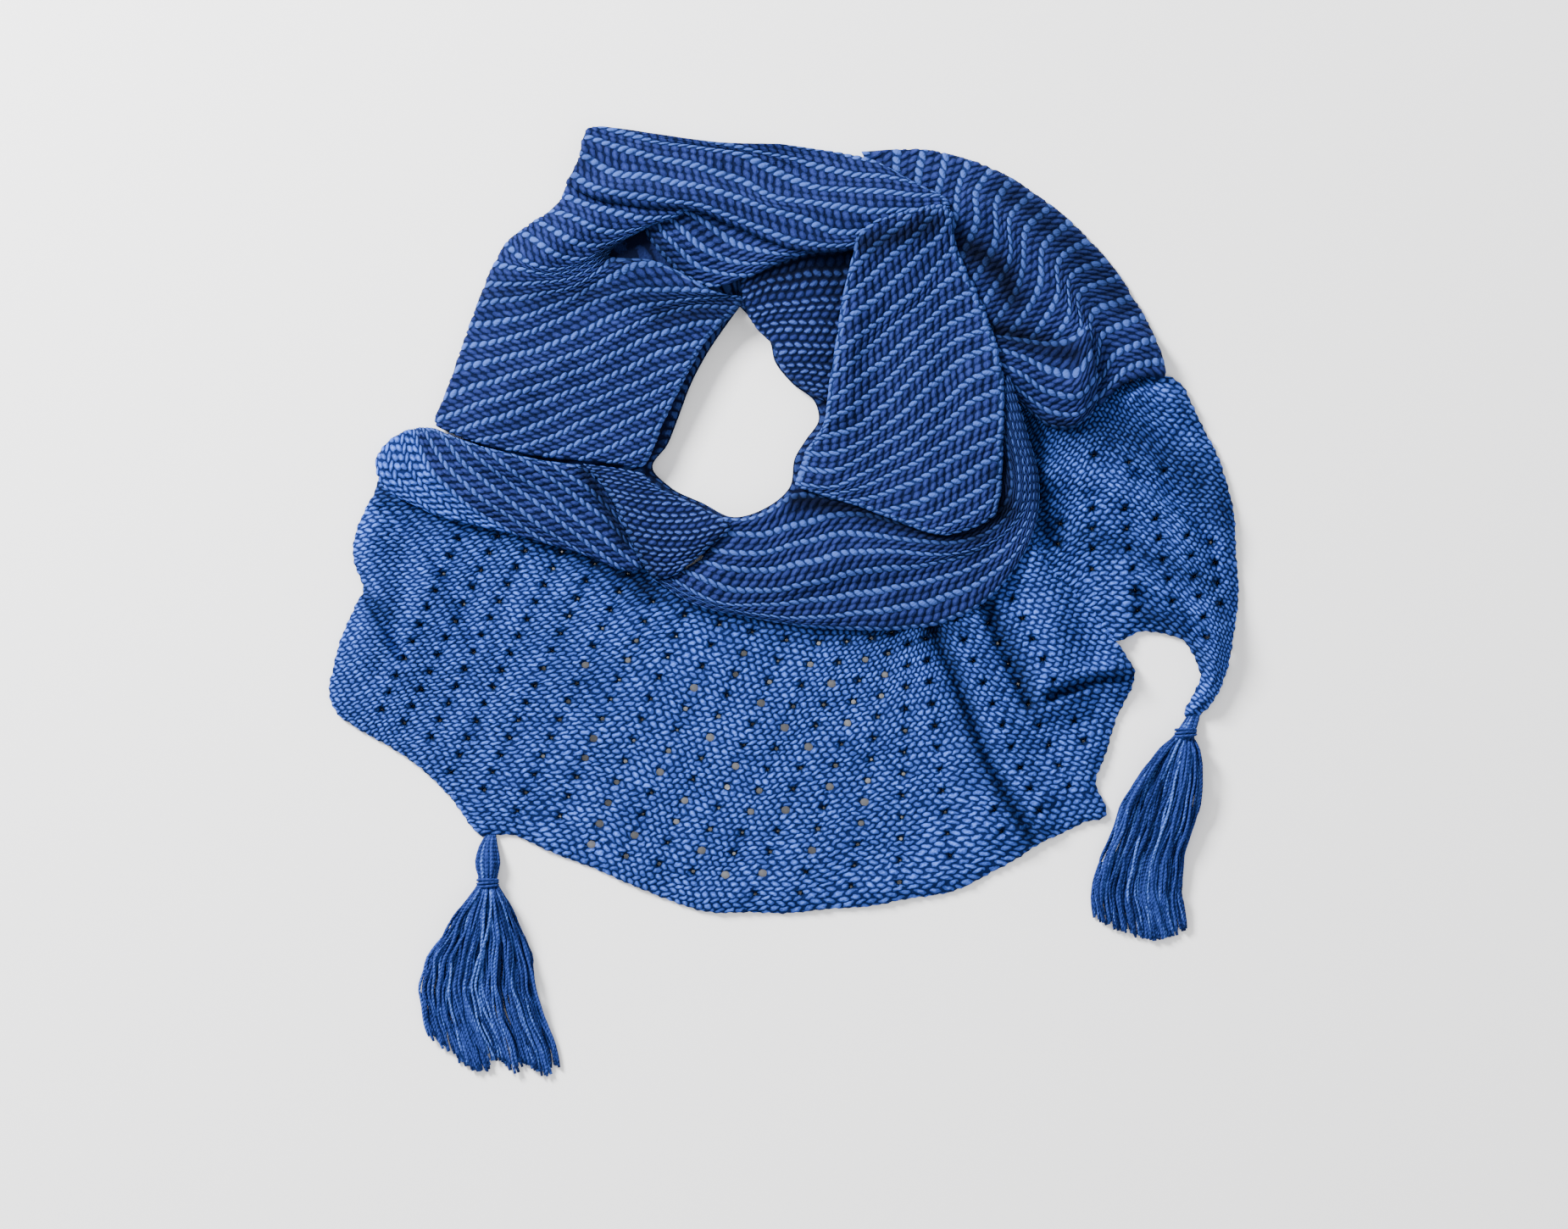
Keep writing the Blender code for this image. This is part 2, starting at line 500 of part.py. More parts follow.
class Heap:
    """Heights of everything laid so far, on a square raster of the plan."""

    def __init__(self):
        self.top = np.zeros((CELLS, CELLS))

    def samples(self, points, triangles):
        owner = []
        share = []
        cells = []
        for index, triangle in enumerate(triangles):
            corner = points[triangle]
            low = np.floor((corner.min(axis=0) - (PLAN_LEFT, PLAN_TOP)) / CELL).astype(int)
            high = np.ceil((corner.max(axis=0) - (PLAN_LEFT, PLAN_TOP)) / CELL).astype(int)
            xs, ys = np.meshgrid(np.arange(low[0], high[0] + 1), np.arange(low[1], high[1] + 1))
            place = np.stack([xs.ravel(), ys.ravel()], axis=1) * CELL + (PLAN_LEFT, PLAN_TOP)
            matrix = np.array([corner[1] - corner[0], corner[2] - corner[0]]).T
            if abs(np.linalg.det(matrix)) < 1e-9:
                continue
            weights = np.linalg.solve(matrix, (place - corner[0]).T).T
            weights = np.column_stack([1 - weights.sum(axis=1), weights])
            keep = weights.min(axis=1) > -1e-6
            place = place[keep]
            weights = weights[keep]
            extra = [(1, 0, 0), (0, 1, 0), (0, 0, 1), (0.5, 0.5, 0), (0, 0.5, 0.5), (0.5, 0, 0.5)]
            extra = np.array(extra, float)
            place = np.vstack([place, extra @ corner])
            weights = np.vstack([weights, extra])
            owner.append(np.full(len(place), index))
            share.append(weights)
            cells.append(np.round((place - (PLAN_LEFT, PLAN_TOP)) / CELL).astype(int))
        return np.concatenate(owner), np.vstack(share), np.vstack(cells)

    def widened(self):
        wide = self.top.copy()
        for dy in (-1, 0, 1):
            for dx in (-1, 0, 1):
                wide = np.maximum(wide, np.roll(self.top, (dy, dx), axis=(0, 1)))
        return wide

    def lay(self, points, triangles, rounds, edge_rounds=0):
        """The lowest smooth underside that clears all that is laid so far."""
        owner, share, cells = self.samples(points, triangles)
        wide = self.widened()
        need = np.where(wide > 0, wide + APART, 0.0)[cells[:, 1], cells[:, 0]]
        count = len(points)
        pairs = np.vstack([triangles[:, [0, 1]], triangles[:, [1, 2]], triangles[:, [2, 0]]])
        edge = np.zeros(count, bool)
        edge[boundary(triangles).ravel()] = True
        height = np.zeros(count)

        def raised(height):
            over = need - (share * height[triangles[owner]]).sum(axis=1)
            worst = np.zeros(len(triangles))
            np.maximum.at(worst, owner, over)
            lift = np.zeros(count)
            for corner in range(3):
                np.maximum.at(lift, triangles[:, corner], worst)
            return height + lift

        height = raised(height)
        for turn in range(rounds):
            total = np.zeros(count)
            number = np.zeros(count)
            for a, b in ((0, 1), (1, 0)):
                np.add.at(total, pairs[:, a], height[pairs[:, b]])
                np.add.at(number, pairs[:, a], 1)
            eased = 0.45 * height + 0.55 * total / np.maximum(number, 1)
            if turn >= edge_rounds:
                eased = np.where(edge, np.minimum(height, eased), eased)
            height = raised(np.maximum(eased - 0.00012, 0.0))
        return height

    def add(self, points, triangles, height):
        owner, share, cells = self.samples(points, triangles)
        values = (share * height[triangles[owner]]).sum(axis=1)
        np.maximum.at(self.top, (cells[:, 1], cells[:, 0]), values)


def boundary(triangles):
    seen = {}
    for a, b, c in triangles:
        for start, end in ((a, b), (b, c), (c, a)):
            seen[(int(start), int(end))] = True
    return np.array([pair for pair in seen if (pair[1], pair[0]) not in seen])


def cloth(name, heap, plan, wall, colour, folds=None, rounds=14, steps=None, lift=None):
    """One cloth wall: an underside laid on the heap, a top above it and sides round every edge."""
    points, triangles = plan
    under = heap.lay(points, triangles, rounds)
    rise = fold_height(folds or name, points)
    edges = boundary(triangles)
    rim = np.zeros(len(points), bool)
    rim[edges.ravel()] = True
    # A folded edge turns down: the rim keeps a third of the rise.
    under = under + np.where(rim, 0.35 * rise, rise)
    full = wall if lift is None else lift(points)
    top = under + np.where(rim, full * 0.66, full)
    heap.add(points, triangles, top)
    return make_solid(name, points, triangles, edges, under, top, colour, steps)


def make_solid(name, points, triangles, edges, under, top, colour, steps):
    count = len(points)
    flat = (points - PLAN_MIDDLE) * SQUARE * (1, -1)
    low = np.column_stack([flat, under])
    high = np.column_stack([flat, top])
    vertices = [low, high]
    faces = [(a, c, b) for a, b, c in triangles]
    faces += [(a + count, b + count, c + count) for a, b, c in triangles]
    rings = {vertex: [vertex] for vertex in np.unique(edges)}
    if steps:
        middle = edge_normals(flat, edges)
        for share, inset in steps:
            ring_start = sum(len(block) for block in vertices)
            block = []
            for offset, vertex in enumerate(sorted(rings)):
                place = flat[vertex] - middle[vertex] * inset
                block.append((*place, under[vertex] + share * (top[vertex] - under[vertex])))
                rings[vertex].append(ring_start + offset)
            vertices.append(np.array(block))
    for vertex, chain in rings.items():
        chain.append(vertex + count)
    for start, end in edges:
        first = rings[start]
        second = rings[end]
        for level in range(len(first) - 1):
            faces.append((first[level], second[level], second[level + 1]))
            faces.append((first[level], second[level + 1], first[level + 1]))
    return add_object(name, np.vstack(vertices), faces, colour)


def edge_normals(flat, edges):
    """The outward direction at each edge vertex, in the plane."""
    total = {}
    for start, end in edges:
        along = flat[end] - flat[start]
        outward = np.array([along[1], -along[0]]) / max(np.linalg.norm(along), 1e-9)
        for vertex in (start, end):
            total[vertex] = total.get(vertex, np.zeros(2)) + outward
    return {vertex: value / max(np.linalg.norm(value), 1e-9) for vertex, value in total.items()}


def add_object(name, vertices, faces, colour):
    mesh = bpy.data.meshes.new(name)
    places = [tuple(map(float, vertex)) for vertex in vertices]
    mesh.from_pydata(places, [], [tuple(map(int, face)) for face in faces])
    mesh.validate()
    build = bmesh.new()
    build.from_mesh(mesh)
    bmesh.ops.recalc_face_normals(build, faces=build.faces)
    bmesh.ops.triangulate(build, faces=build.faces)
    build.to_mesh(mesh)
    build.free()
    mesh.polygons.foreach_set("use_smooth", [True] * len(mesh.polygons))
    mesh.materials.append(material(name, colour))
    item = bpy.data.objects.new(name, mesh)
    bpy.context.scene.collection.objects.link(item)
    return item


def material(name, colour):
    made = bpy.data.materials.new(name + "_yarn")
    made.use_nodes = True
    surface = made.node_tree.nodes["Principled BSDF"]
    surface.inputs["Base Color"].default_value = (*colour, 1.0)
    surface.inputs["Roughness"].default_value = 0.9
    surface.inputs["Metallic"].default_value = 0.0
    made.diffuse_color = (*colour, 1.0)
    return made


def tassel(name, table, colour):
    """A bound head whose lower face carries a grid of strands, spread on the floor."""
    around = []
    for i in range(STRANDS_ACROSS + 1):
        around.append((i, 0))
    for j in range(1, STRANDS_UP + 1):
        around.append((STRANDS_ACROSS, j))
    for i in range(STRANDS_ACROSS - 1, -1, -1):
        around.append((i, STRANDS_UP))
    for j in range(STRANDS_UP - 1, 0, -1):
        around.append((0, j))

    def section(i, j):
        a = 2 * i / STRANDS_ACROSS - 1
        b = 2 * j / STRANDS_UP - 1
        return a * math.sqrt(1 - 0.42 * b * b), b * math.sqrt(1 - 0.42 * a * a)

    def at(x, y, z):
        return ((x - PLAN_MIDDLE[0]) * SQUARE, (PLAN_MIDDLE[1] - y) * SQUARE, z)

    vertices = []
    faces = []
    rings = []
    for y, middle, half, height in table["head"][:-1]:
        ring = []
        for i, j in around:
            a, b = section(i, j)
            ring.append(len(vertices))
            vertices.append(at(middle + a * half, y, 0.0006 + (b + 1) * (height - 0.0006) / 2))
        rings.append(ring)
    y_root, middle, half, height = table["head"][-1]
    grid = {}
    for j in range(STRANDS_UP + 1):
        for i in range(STRANDS_ACROSS + 1):
            a, b = section(i, j)
            grid[(i, j)] = len(vertices)
            vertices.append(at(middle + a * half, y_root, 0.0006 + (b + 1) * (height - 0.0006) / 2))
    rings.append([grid[key] for key in around])
    for first, second in zip(rings[:-1], rings[1:]):
        for index in range(len(first)):
            after = (index + 1) % len(first)
            faces.append((first[index], first[after], second[after], second[index]))
    faces.append(tuple(reversed(rings[0])))
    skirt = np.array(table["skirt"], float)
    for j in range(STRANDS_UP):
        for i in range(STRANDS_ACROSS):
            cell = [grid[(i, j)], grid[(i + 1, j)], grid[(i + 1, j + 1)], grid[(i, j + 1)]]
            centre = np.mean([vertices[v] for v in cell], axis=0)
            inner = []
            for v in cell:
                inner.append(len(vertices))
                shrunk = centre + (np.array(vertices[v]) - centre) * 0.72
                vertices.append((shrunk[0], shrunk[1] - 0.0006, shrunk[2]))
            for k in range(4):
                faces.append((cell[k], cell[(k + 1) % 4], inner[(k + 1) % 4], inner[k]))
            last = inner
            end = table["ends"][i] - 7 * ((i * 5 + j * 3) % 4)
            share = (i + 0.5 + 0.16 * math.sin(2.1 * i + 1.7 * j)) / STRANDS_ACROSS
            for step in range(1, STRAND_STEPS + 1):
                t = step / STRAND_STEPS
                y = y_root + (end - y_root) * t
                left = np.interp(y, skirt[:, 0], skirt[:, 1])
                right = np.interp(y, skirt[:, 0], skirt[:, 2])
                narrow = (1 - 0.10 * j) * (right - left)
                x = (left + right) / 2 + (share - 0.5) * narrow * 0.97
                base = 0.0007 + j * (0.0030 - 0.0002 * t)
                rise = 0.0024 * math.sin(math.pi * min(1.0, 1.2 * t)) * (1 - 0.2 * j)
                z = centre[2] + (base + 0.0011 + max(rise, 0) - centre[2]) * min(1.0, 2.2 * t)
                wide = 0.36 * narrow / STRANDS_ACROSS * SQUARE
                tall = 0.0011
                ring = []
                for da, db in ((-1, -1), (1, -1), (1, 1), (-1, 1)):
                    px, py, _ = at(x, y, 0)
                    ring.append(len(vertices))
                    vertices.append((px + da * wide, py, z + db * tall))
                for k in range(4):
                    faces.append((last[k], last[(k + 1) % 4], ring[(k + 1) % 4], ring[k]))
                last = ring
            faces.append(tuple(last))
    return add_object(name, vertices, faces, colour)


def build():
    for old in list(bpy.data.objects):
        bpy.data.objects.remove(old, do_unlink=True)
    heap = Heap()
    windows = eyelets(LACE_FRONT, EYELET_COLUMNS, EYELET_ROWS, [], EYELET_FREE, HEM)
    cloth("lace_front", heap, cut_piece(LACE_FRONT, windows, 46), LACE_WALL, LACE_BLUE, "lace")
    windows = eyelets(LACE_SIDE, SIDE_COLUMNS, SIDE_ROWS, SIDE_LIGHT, [], HEM)
    cloth("lace_side", heap, cut_piece(LACE_SIDE, windows, 30), LACE_WALL, LACE_BLUE, "lace")

    ring = np.asarray(HIDDEN_OUTSIDE, float)
    rim = np.vstack([ring, ring[:1]])
    neck = np.vstack([HIDDEN_INSIDE, HIDDEN_INSIDE[:1]])

    def hidden_height(points):
        near = np.minimum(distance(points, rim), distance(points, neck) * 1.6)
        return 0.0055 + (HIDDEN_HEIGHT - 0.0055) * np.sin(np.clip(near / 46, 0, 1) * math.pi / 2)

    layers = [(0.30, 0.0012), (0.36, -0.0002), (0.66, 0.0012), (0.72, -0.0002)]
    loop = cut_piece(HIDDEN_OUTSIDE, [HIDDEN_INSIDE], 34)
    cloth("hidden_layers", heap, loop, HIDDEN_HEIGHT, INSIDE_BLUE, None, 4, layers, hidden_height)
    cloth("neck_inside", heap, grid_piece(NECK_INSIDE, 5, 7), GARTER_WALL, INSIDE_BLUE)
    cloth("back_arc", heap, grid_piece(BACK_ARC, 7, 16), GARTER_WALL, STRIPE_BLUE)
    cloth("arc_fold", heap, grid_piece(ARC_FOLD, 8, 5), GARTER_WALL, STRIPE_BLUE)
    cloth("top_pleat", heap, grid_piece(TOP_PLEAT, 8, 5), GARTER_WALL, STRIPE_BLUE)
    cloth("left_arm", heap, grid_piece(LEFT_ARM, 8, 20), GARTER_WALL, STRIPE_BLUE)
    cloth("top_band", heap, grid_piece(TOP_BAND, 12, 7), GARTER_WALL, STRIPE_BLUE)
    cloth("left_front", heap, grid_piece(LEFT_FRONT, 6, 11), GARTER_WALL, STRIPE_BLUE)
    cloth("front_roll", heap, grid_piece(FRONT_ROLL, 18, 6), GARTER_WALL, STRIPE_BLUE)
    cloth("turned_back", heap, grid_piece(TURNED_BACK, 5, 7), GARTER_WALL, INSIDE_BLUE)
    cloth("right_front", heap, grid_piece(RIGHT_FRONT, 8, 17), GARTER_WALL, STRIPE_BLUE)
    tassel("tassel_left", LEFT_TASSEL, TASSEL_BLUE)
    tassel("tassel_right", RIGHT_TASSEL, TASSEL_BLUE)


def centre_parts():
    """Moves the whole so that its bounding box stands centred on the origin."""
    parts = list(bpy.context.scene.collection.objects)
    places = np.vstack([[tuple(vertex.co) for vertex in part.data.vertices] for part in parts])
    middle = (places.min(axis=0) + places.max(axis=0)) / 2
    for part in parts:
        part.data.transform(mathutils.Matrix.Translation((-middle[0], -middle[1], -places[:, 2].min())))


build()
centre_parts()
for part in bpy.context.scene.collection.objects:
    print(part.name, len(part.data.polygons))
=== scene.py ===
import math

import bpy
import numpy as np
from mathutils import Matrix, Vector


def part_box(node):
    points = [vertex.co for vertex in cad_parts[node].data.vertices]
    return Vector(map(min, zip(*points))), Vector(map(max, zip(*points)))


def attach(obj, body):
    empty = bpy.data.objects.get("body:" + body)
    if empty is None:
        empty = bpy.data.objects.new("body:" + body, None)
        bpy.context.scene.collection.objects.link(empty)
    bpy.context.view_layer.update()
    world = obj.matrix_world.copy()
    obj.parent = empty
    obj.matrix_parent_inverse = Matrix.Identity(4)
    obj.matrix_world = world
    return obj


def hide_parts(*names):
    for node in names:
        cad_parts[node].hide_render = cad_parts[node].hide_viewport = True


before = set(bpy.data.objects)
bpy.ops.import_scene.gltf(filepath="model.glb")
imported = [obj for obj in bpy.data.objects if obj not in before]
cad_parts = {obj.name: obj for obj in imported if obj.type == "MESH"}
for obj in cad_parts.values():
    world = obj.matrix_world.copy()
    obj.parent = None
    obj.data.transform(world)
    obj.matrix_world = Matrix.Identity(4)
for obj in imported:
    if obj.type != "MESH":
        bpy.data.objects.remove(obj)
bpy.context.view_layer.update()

# The plan is drawn on small squares: x runs right, y runs down from its top left corner.
plan = {
    "square": 0.00055,  # metres to one square
    "middle": (924.0, 711.5),
    "cell": 2.0,  # raster of heights, in squares
    "cells": 640,
    "left": 280.0,
    "top": 80.0,
    "apart": 0.0004,  # air between layers
}

knit = {
    "stitchWide": 0.0060,
    "ridgeTall": 0.0063,
    "garterWall": 0.0040,
    "laceWall": 0.0032,
    "relief": 0.0012,
    "edgeRound": 0.0042,
    "edgeBump": 2.2,  # squares
    "hiddenHeight": 0.0125,
}

# The rows of dashes that each kind of knitting shows: half sizes are in rows and in stitches.
dashes = {
    "striped": {
        "rowsPerRidge": 1.5, "period": 3.0, "lean": 0.55, "halfAcross": 0.47, "halfAlong": 0.53,
        "stray": 0.30,
    },
    "lace": {
        "rowsPerRidge": 2.0, "period": 2.0, "lean": 0.50, "halfAcross": 0.46, "halfAlong": 0.46,
        "stray": 0.55,
    },
    "inside": {
        "rowsPerRidge": 1.5, "period": 3.0, "lean": 0.25, "halfAcross": 0.42, "halfAlong": 0.48,
        "stray": 0.30,
    },
}


def say(*words):
    print("shawl:", *words, flush=True)


# Smooth lines and grids of points


def chordPlaces(points):
    steps = np.linalg.norm(np.diff(points, axis=0), axis=1)
    run = np.concatenate([[0.0], np.cumsum(steps)])
    return run / run[-1]


def curveThrough(known, values, wanted):
    known = np.asarray(known, float)
    values = np.asarray(values, float)
    wanted = np.asarray(wanted, float)
    gaps = np.diff(known)
    rises = np.diff(values, axis=0) / gaps.reshape(-1, *([1] * (values.ndim - 1)))
    slopes = np.empty_like(values)
    slopes[0] = rises[0]
    slopes[-1] = rises[-1]
    for index in range(1, len(known) - 1):
        share = gaps[index] / (gaps[index] + gaps[index - 1])
        slopes[index] = rises[index - 1] * share + rises[index] * (1 - share)
    span = np.clip(np.searchsorted(known, wanted, side="right") - 1, 0, len(gaps) - 1)
    shape = (-1, *([1] * (values.ndim - 1)))
    step = gaps[span].reshape(shape)
    t = ((wanted - known[span]) / gaps[span]).reshape(shape)
    first = (2 * t**3 - 3 * t**2 + 1) * values[span] + (t**3 - 2 * t**2 + t) * step * slopes[span]
    return first + (3 * t**2 - 2 * t**3) * values[span + 1] + (t**3 - t**2) * step * slopes[span + 1]


def courseGrid(table, across, along):
    sampled = []
    for _, points in table:
        points = np.asarray(points, float)
        sampled.append(curveThrough(chordPlaces(points), points, np.linspace(0, 1, across + 1)))
    numbers = [row[0] for row in table]
    return curveThrough(numbers, np.stack(sampled), np.linspace(numbers[0], numbers[-1], along + 1))


def lineDistance(points, line):
    points = np.asarray(points, float)
    line = np.asarray(line, float)
    best = np.full(len(points), 1e9)
    for a, b in zip(line[:-1], line[1:]):
        along = b - a
        t = np.clip(((points - a) @ along) / (along @ along), 0, 1)
        best = np.minimum(best, np.linalg.norm(points - (a + t[:, None] * along), axis=1))
    return best


def insideOutline(points, outline):
    points = np.asarray(points, float)
    outline = np.asarray(outline, float)
    hit = np.zeros(len(points), bool)
    for (ax, ay), (bx, by) in zip(outline, np.roll(outline, -1, axis=0)):
        if ay == by:
            continue
        crosses = (ay > points[:, 1]) != (by > points[:, 1])
        hit ^= crosses & (points[:, 0] < (bx - ax) * (points[:, 1] - ay) / (by - ay) + ax)
    return hit


def smoothstep(value, low, high):
    t = np.clip((value - low) / (high - low), 0, 1)
    return t * t * (3 - 2 * t)


def onFloor(points):
    flat = (np.asarray(points, float) - plan["middle"]) * plan["square"] * (1, -1)
    return flat - shift


# The same courses as the solids: each row is a course's number, then points along it in squares.
leftArm = [
    (0, [(746, 552), (755, 551), (763, 548)]),
    (2, [(718, 547), (740, 541), (760, 533), (773, 527)]),
    (4, [(684, 544), (700, 538), (740, 520), (782, 503)]),
    (6, [(645, 540), (680, 525), (740, 499), (797, 472)]),
    (8, [(600, 533), (640, 522), (700, 495), (760, 471), (808, 449)]),
    (10, [(560, 522), (620, 509), (680, 483), (740, 459), (800, 434), (819, 428)]),
    (12, [(534, 511), (600, 491), (660, 469), (720, 446), (780, 418), (833, 404)]),
    (14, [(514, 498), (560, 481), (620, 464), (700, 433), (780, 396), (838, 382), (856, 380)]),
    (16, [(526, 467), (580, 452), (640, 434), (700, 411), (760, 381), (820, 364), (871, 366)]),
    (18, [(536, 438), (580, 428), (640, 413), (700, 388), (740, 369), (800, 357), (874, 352)]),
    (20, [(546, 410), (600, 402), (660, 381), (700, 361), (740, 348), (790, 345), (845, 347)]),
    (22, [(555, 384), (600, 380), (660, 361), (700, 341), (728, 325), (752, 315), (778, 312)]),
    (24, [(564, 360), (600, 356), (640, 349), (680, 339), (705, 324), (724, 306)]),
    (26, [(572, 336), (600, 337), (640, 336), (675, 330), (700, 318), (721, 300)]),
    (28, [(583, 312), (610, 317), (645, 326), (675, 322), (700, 311), (724, 295)]),
    (30, [(597, 288), (620, 309), (650, 320), (675, 317), (702, 305), (729, 290)]),
    (32, [(613, 274), (640, 291), (665, 305), (687, 309), (712, 299), (738, 285)]),
    (34, [(632, 260), (660, 277), (683, 290), (708, 292), (730, 286), (752, 278)]),
    (36, [(650, 249), (680, 261), (702, 271), (727, 277), (750, 274), (772, 268)]),
    (38, [(664, 231), (700, 246), (740, 257), (768, 261), (797, 259)]),
    (39.5, [(672, 212), (700, 228), (740, 238), (780, 245), (815, 249)]),
]

topBand = [
    (
        39,
        [
            (669, 219), (700, 236), (760, 248), (815, 251), (860, 267), (905, 287), (945, 300), (1000, 299),
            (1050, 285), (1099, 262),
        ],
    ),
    (
        40,
        [
            (676, 206), (700, 224), (760, 237), (820, 246), (860, 258), (905, 277), (945, 290), (1000, 293),
            (1047, 281), (1102, 259),
        ],
    ),
    (
        42,
        [
            (685, 184), (720, 204), (780, 215), (840, 227), (900, 248), (945, 262), (995, 278), (1045, 271),
            (1109, 255),
        ],
    ),
    (
        44,
        [
            (690, 162), (740, 179), (800, 194), (860, 210), (915, 236), (960, 243), (1005, 250),
            (1060, 252), (1118, 248),
        ],
    ),
    (
        46,
        [
            (712, 150), (760, 166), (820, 175), (885, 188), (930, 213), (980, 226), (1020, 228),
            (1065, 232), (1112, 235),
        ],
    ),
    (48, [(838, 167), (880, 177), (935, 189), (975, 201), (1010, 208), (1046, 212), (1080, 219)]),
    (50, [(922, 170), (962, 176), (998, 182), (1026, 190), (1054, 203)]),
]

topPleat = [
    (0, [(832, 236), (870, 244), (910, 258), (950, 272), (985, 278)]),
    (2, [(812, 242), (840, 250), (870, 262), (910, 279), (945, 292), (974, 295)]),
    (4, [(800, 247), (825, 260), (850, 279), (880, 294), (910, 302), (944, 304)]),
    (6, [(785, 254), (805, 272), (825, 293), (850, 306), (880, 314), (915, 314)]),
    (8, [(772, 260), (786, 280), (803, 298), (825, 316), (855, 326), (886, 328)]),
    (10, [(758, 266), (768, 284), (784, 305), (804, 324), (824, 336), (842, 342)]),
]

neckInside = [
    (0, [(872, 328), (910, 306), (955, 288), (1012, 278)]),
    (2, [(876, 347), (912, 334), (958, 326), (1010, 322)]),
    (4, [(881, 368), (918, 361), (960, 357), (1006, 355)]),
    (6, [(893, 388), (932, 383), (965, 383), (1000, 385)]),
    (8, [(913, 410), (942, 408), (970, 410), (996, 413)]),
    (10, [(922, 434), (948, 433), (972, 435), (993, 439)]),
    (12, [(941, 453), (957, 454), (974, 457), (991, 462)]),
    (14, [(966, 471), (974, 474), (982, 476), (989, 479)]),
]

rightFront = [
    (0, [(1010, 284), (1022, 272), (1036, 262)]),
    (2, [(1001, 324), (1025, 302), (1045, 284), (1068, 262), (1080, 250)]),
    (4, [(993, 358), (1005, 348), (1030, 326), (1055, 302), (1085, 276), (1107, 246)]),
    (6, [(989, 388), (1010, 372), (1045, 345), (1085, 303), (1105, 284), (1122, 256)]),
    (8, [(984, 420), (1005, 405), (1045, 373), (1085, 341), (1108, 314), (1127, 292)]),
    (10, [(979, 450), (1005, 430), (1045, 395), (1085, 362), (1112, 338), (1137, 318)]),
    (12, [(976, 478), (1005, 455), (1045, 425), (1085, 390), (1120, 360), (1150, 343)]),
    (14, [(972, 501), (1005, 482), (1045, 451), (1085, 413), (1125, 383), (1159, 366)]),
    (16, [(961, 519), (1005, 507), (1045, 479), (1085, 441), (1125, 406), (1167, 387)]),
    (18, [(950, 535), (985, 536), (1025, 517), (1065, 488), (1105, 451), (1145, 421), (1174, 410)]),
    (20, [(944, 553), (985, 557), (1025, 536), (1065, 513), (1105, 483), (1145, 450), (1180, 434)]),
    (22, [(940, 573), (985, 575), (1025, 556), (1065, 535), (1105, 508), (1145, 477), (1182, 460)]),
    (24, [(970, 585), (1010, 578), (1045, 563), (1085, 543), (1125, 516), (1182, 488)]),
    (26, [(1000, 594), (1045, 583), (1085, 566), (1125, 542), (1182, 514)]),
    (28, [(1034, 606), (1080, 594), (1125, 570), (1155, 551), (1181, 538)]),
    (30, [(1066, 619), (1105, 607), (1145, 584), (1180, 563)]),
    (32, [(1094, 629), (1130, 616), (1158, 600), (1179, 584)]),
    (34, [(1116, 632), (1138, 626), (1160, 616), (1174, 606)]),
]

frontRoll = [
    (
        0,
        [
            (852, 612), (880, 613), (905, 604), (937, 584), (985, 588), (1050, 604), (1110, 612),
            (1155, 600), (1176, 570), (1176, 520), (1166, 474),
        ],
    ),
    (
        2,
        [
            (848, 630), (900, 630), (950, 617), (1000, 607), (1060, 616), (1115, 626), (1165, 614),
            (1190, 585), (1190, 545), (1180, 500), (1170, 468),
        ],
    ),
    (
        4,
        [
            (838, 648), (890, 654), (950, 640), (1000, 630), (1060, 636), (1120, 641), (1170, 625),
            (1198, 592), (1199, 552), (1188, 505), (1174, 462),
        ],
    ),
    (
        6,
        [
            (826, 662), (885, 674), (950, 664), (1000, 652), (1060, 652), (1122, 654), (1175, 636),
            (1204, 600), (1206, 556), (1194, 507), (1178, 457),
        ],
    ),
    (
        8,
        [
            (806, 672), (850, 692), (900, 697), (960, 688), (1020, 674), (1080, 668), (1140, 654),
            (1185, 628), (1210, 597), (1212, 558), (1199, 509), (1182, 453),
        ],
    ),
    (
        10,
        [
            (792, 682), (840, 709), (900, 714), (960, 708), (1020, 699), (1080, 689), (1140, 673),
            (1189, 643), (1214, 604), (1217, 561), (1203, 510), (1184, 450),
        ],
    ),
    (
        12,
        [
            (778, 684), (820, 706), (880, 723), (940, 729), (1000, 725), (1060, 718), (1110, 706),
            (1155, 687), (1190, 661), (1217, 613), (1221, 565), (1207, 512), (1186, 447),
        ],
    ),
    (
        14,
        [
            (770, 683), (820, 713), (880, 727), (940, 737), (1000, 742), (1060, 742), (1110, 735),
            (1156, 713), (1190, 679), (1219, 622), (1224, 570), (1211, 515), (1188, 444),
        ],
    ),
]

leftFront = [
    (0, [(684, 549), (696, 557), (714, 573)]),
    (2, [(646, 545), (668, 559), (704, 585), (738, 620)]),
    (4, [(608, 537), (640, 557), (680, 586), (716, 614), (752, 650)]),
    (6, [(574, 529), (600, 552), (640, 580), (700, 627), (757, 670)]),
    (8, [(544, 519), (580, 553), (620, 583), (680, 630), (733, 672)]),
    (10, [(516, 507), (550, 548), (600, 590), (650, 629), (693, 656)]),
    (12, [(500, 505), (520, 540), (560, 580), (610, 616), (650, 643)]),
    (14, [(488, 506), (505, 547), (540, 586), (575, 611), (608, 631)]),
    (16, [(474, 511), (488, 556), (520, 590), (562, 620)]),
    (18, [(456, 523), (468, 563), (492, 588), (518, 609)]),
    (20, [(443, 541), (450, 568), (464, 583), (482, 593)]),
]

turnedBack = [
    (0, [(691, 549), (725, 553), (761, 560)]),
    (2, [(704, 562), (741, 568), (778, 577)]),
    (4, [(716, 578), (762, 587), (808, 590)]),
    (6, [(727, 598), (784, 609), (838, 605)]),
    (8, [(737, 620), (798, 630), (862, 620)]),
    (10, [(747, 643), (798, 650), (846, 639)]),
    (12, [(757, 663), (792, 666), (824, 658)]),
    (14, [(770, 682), (785, 682), (800, 677)]),
]

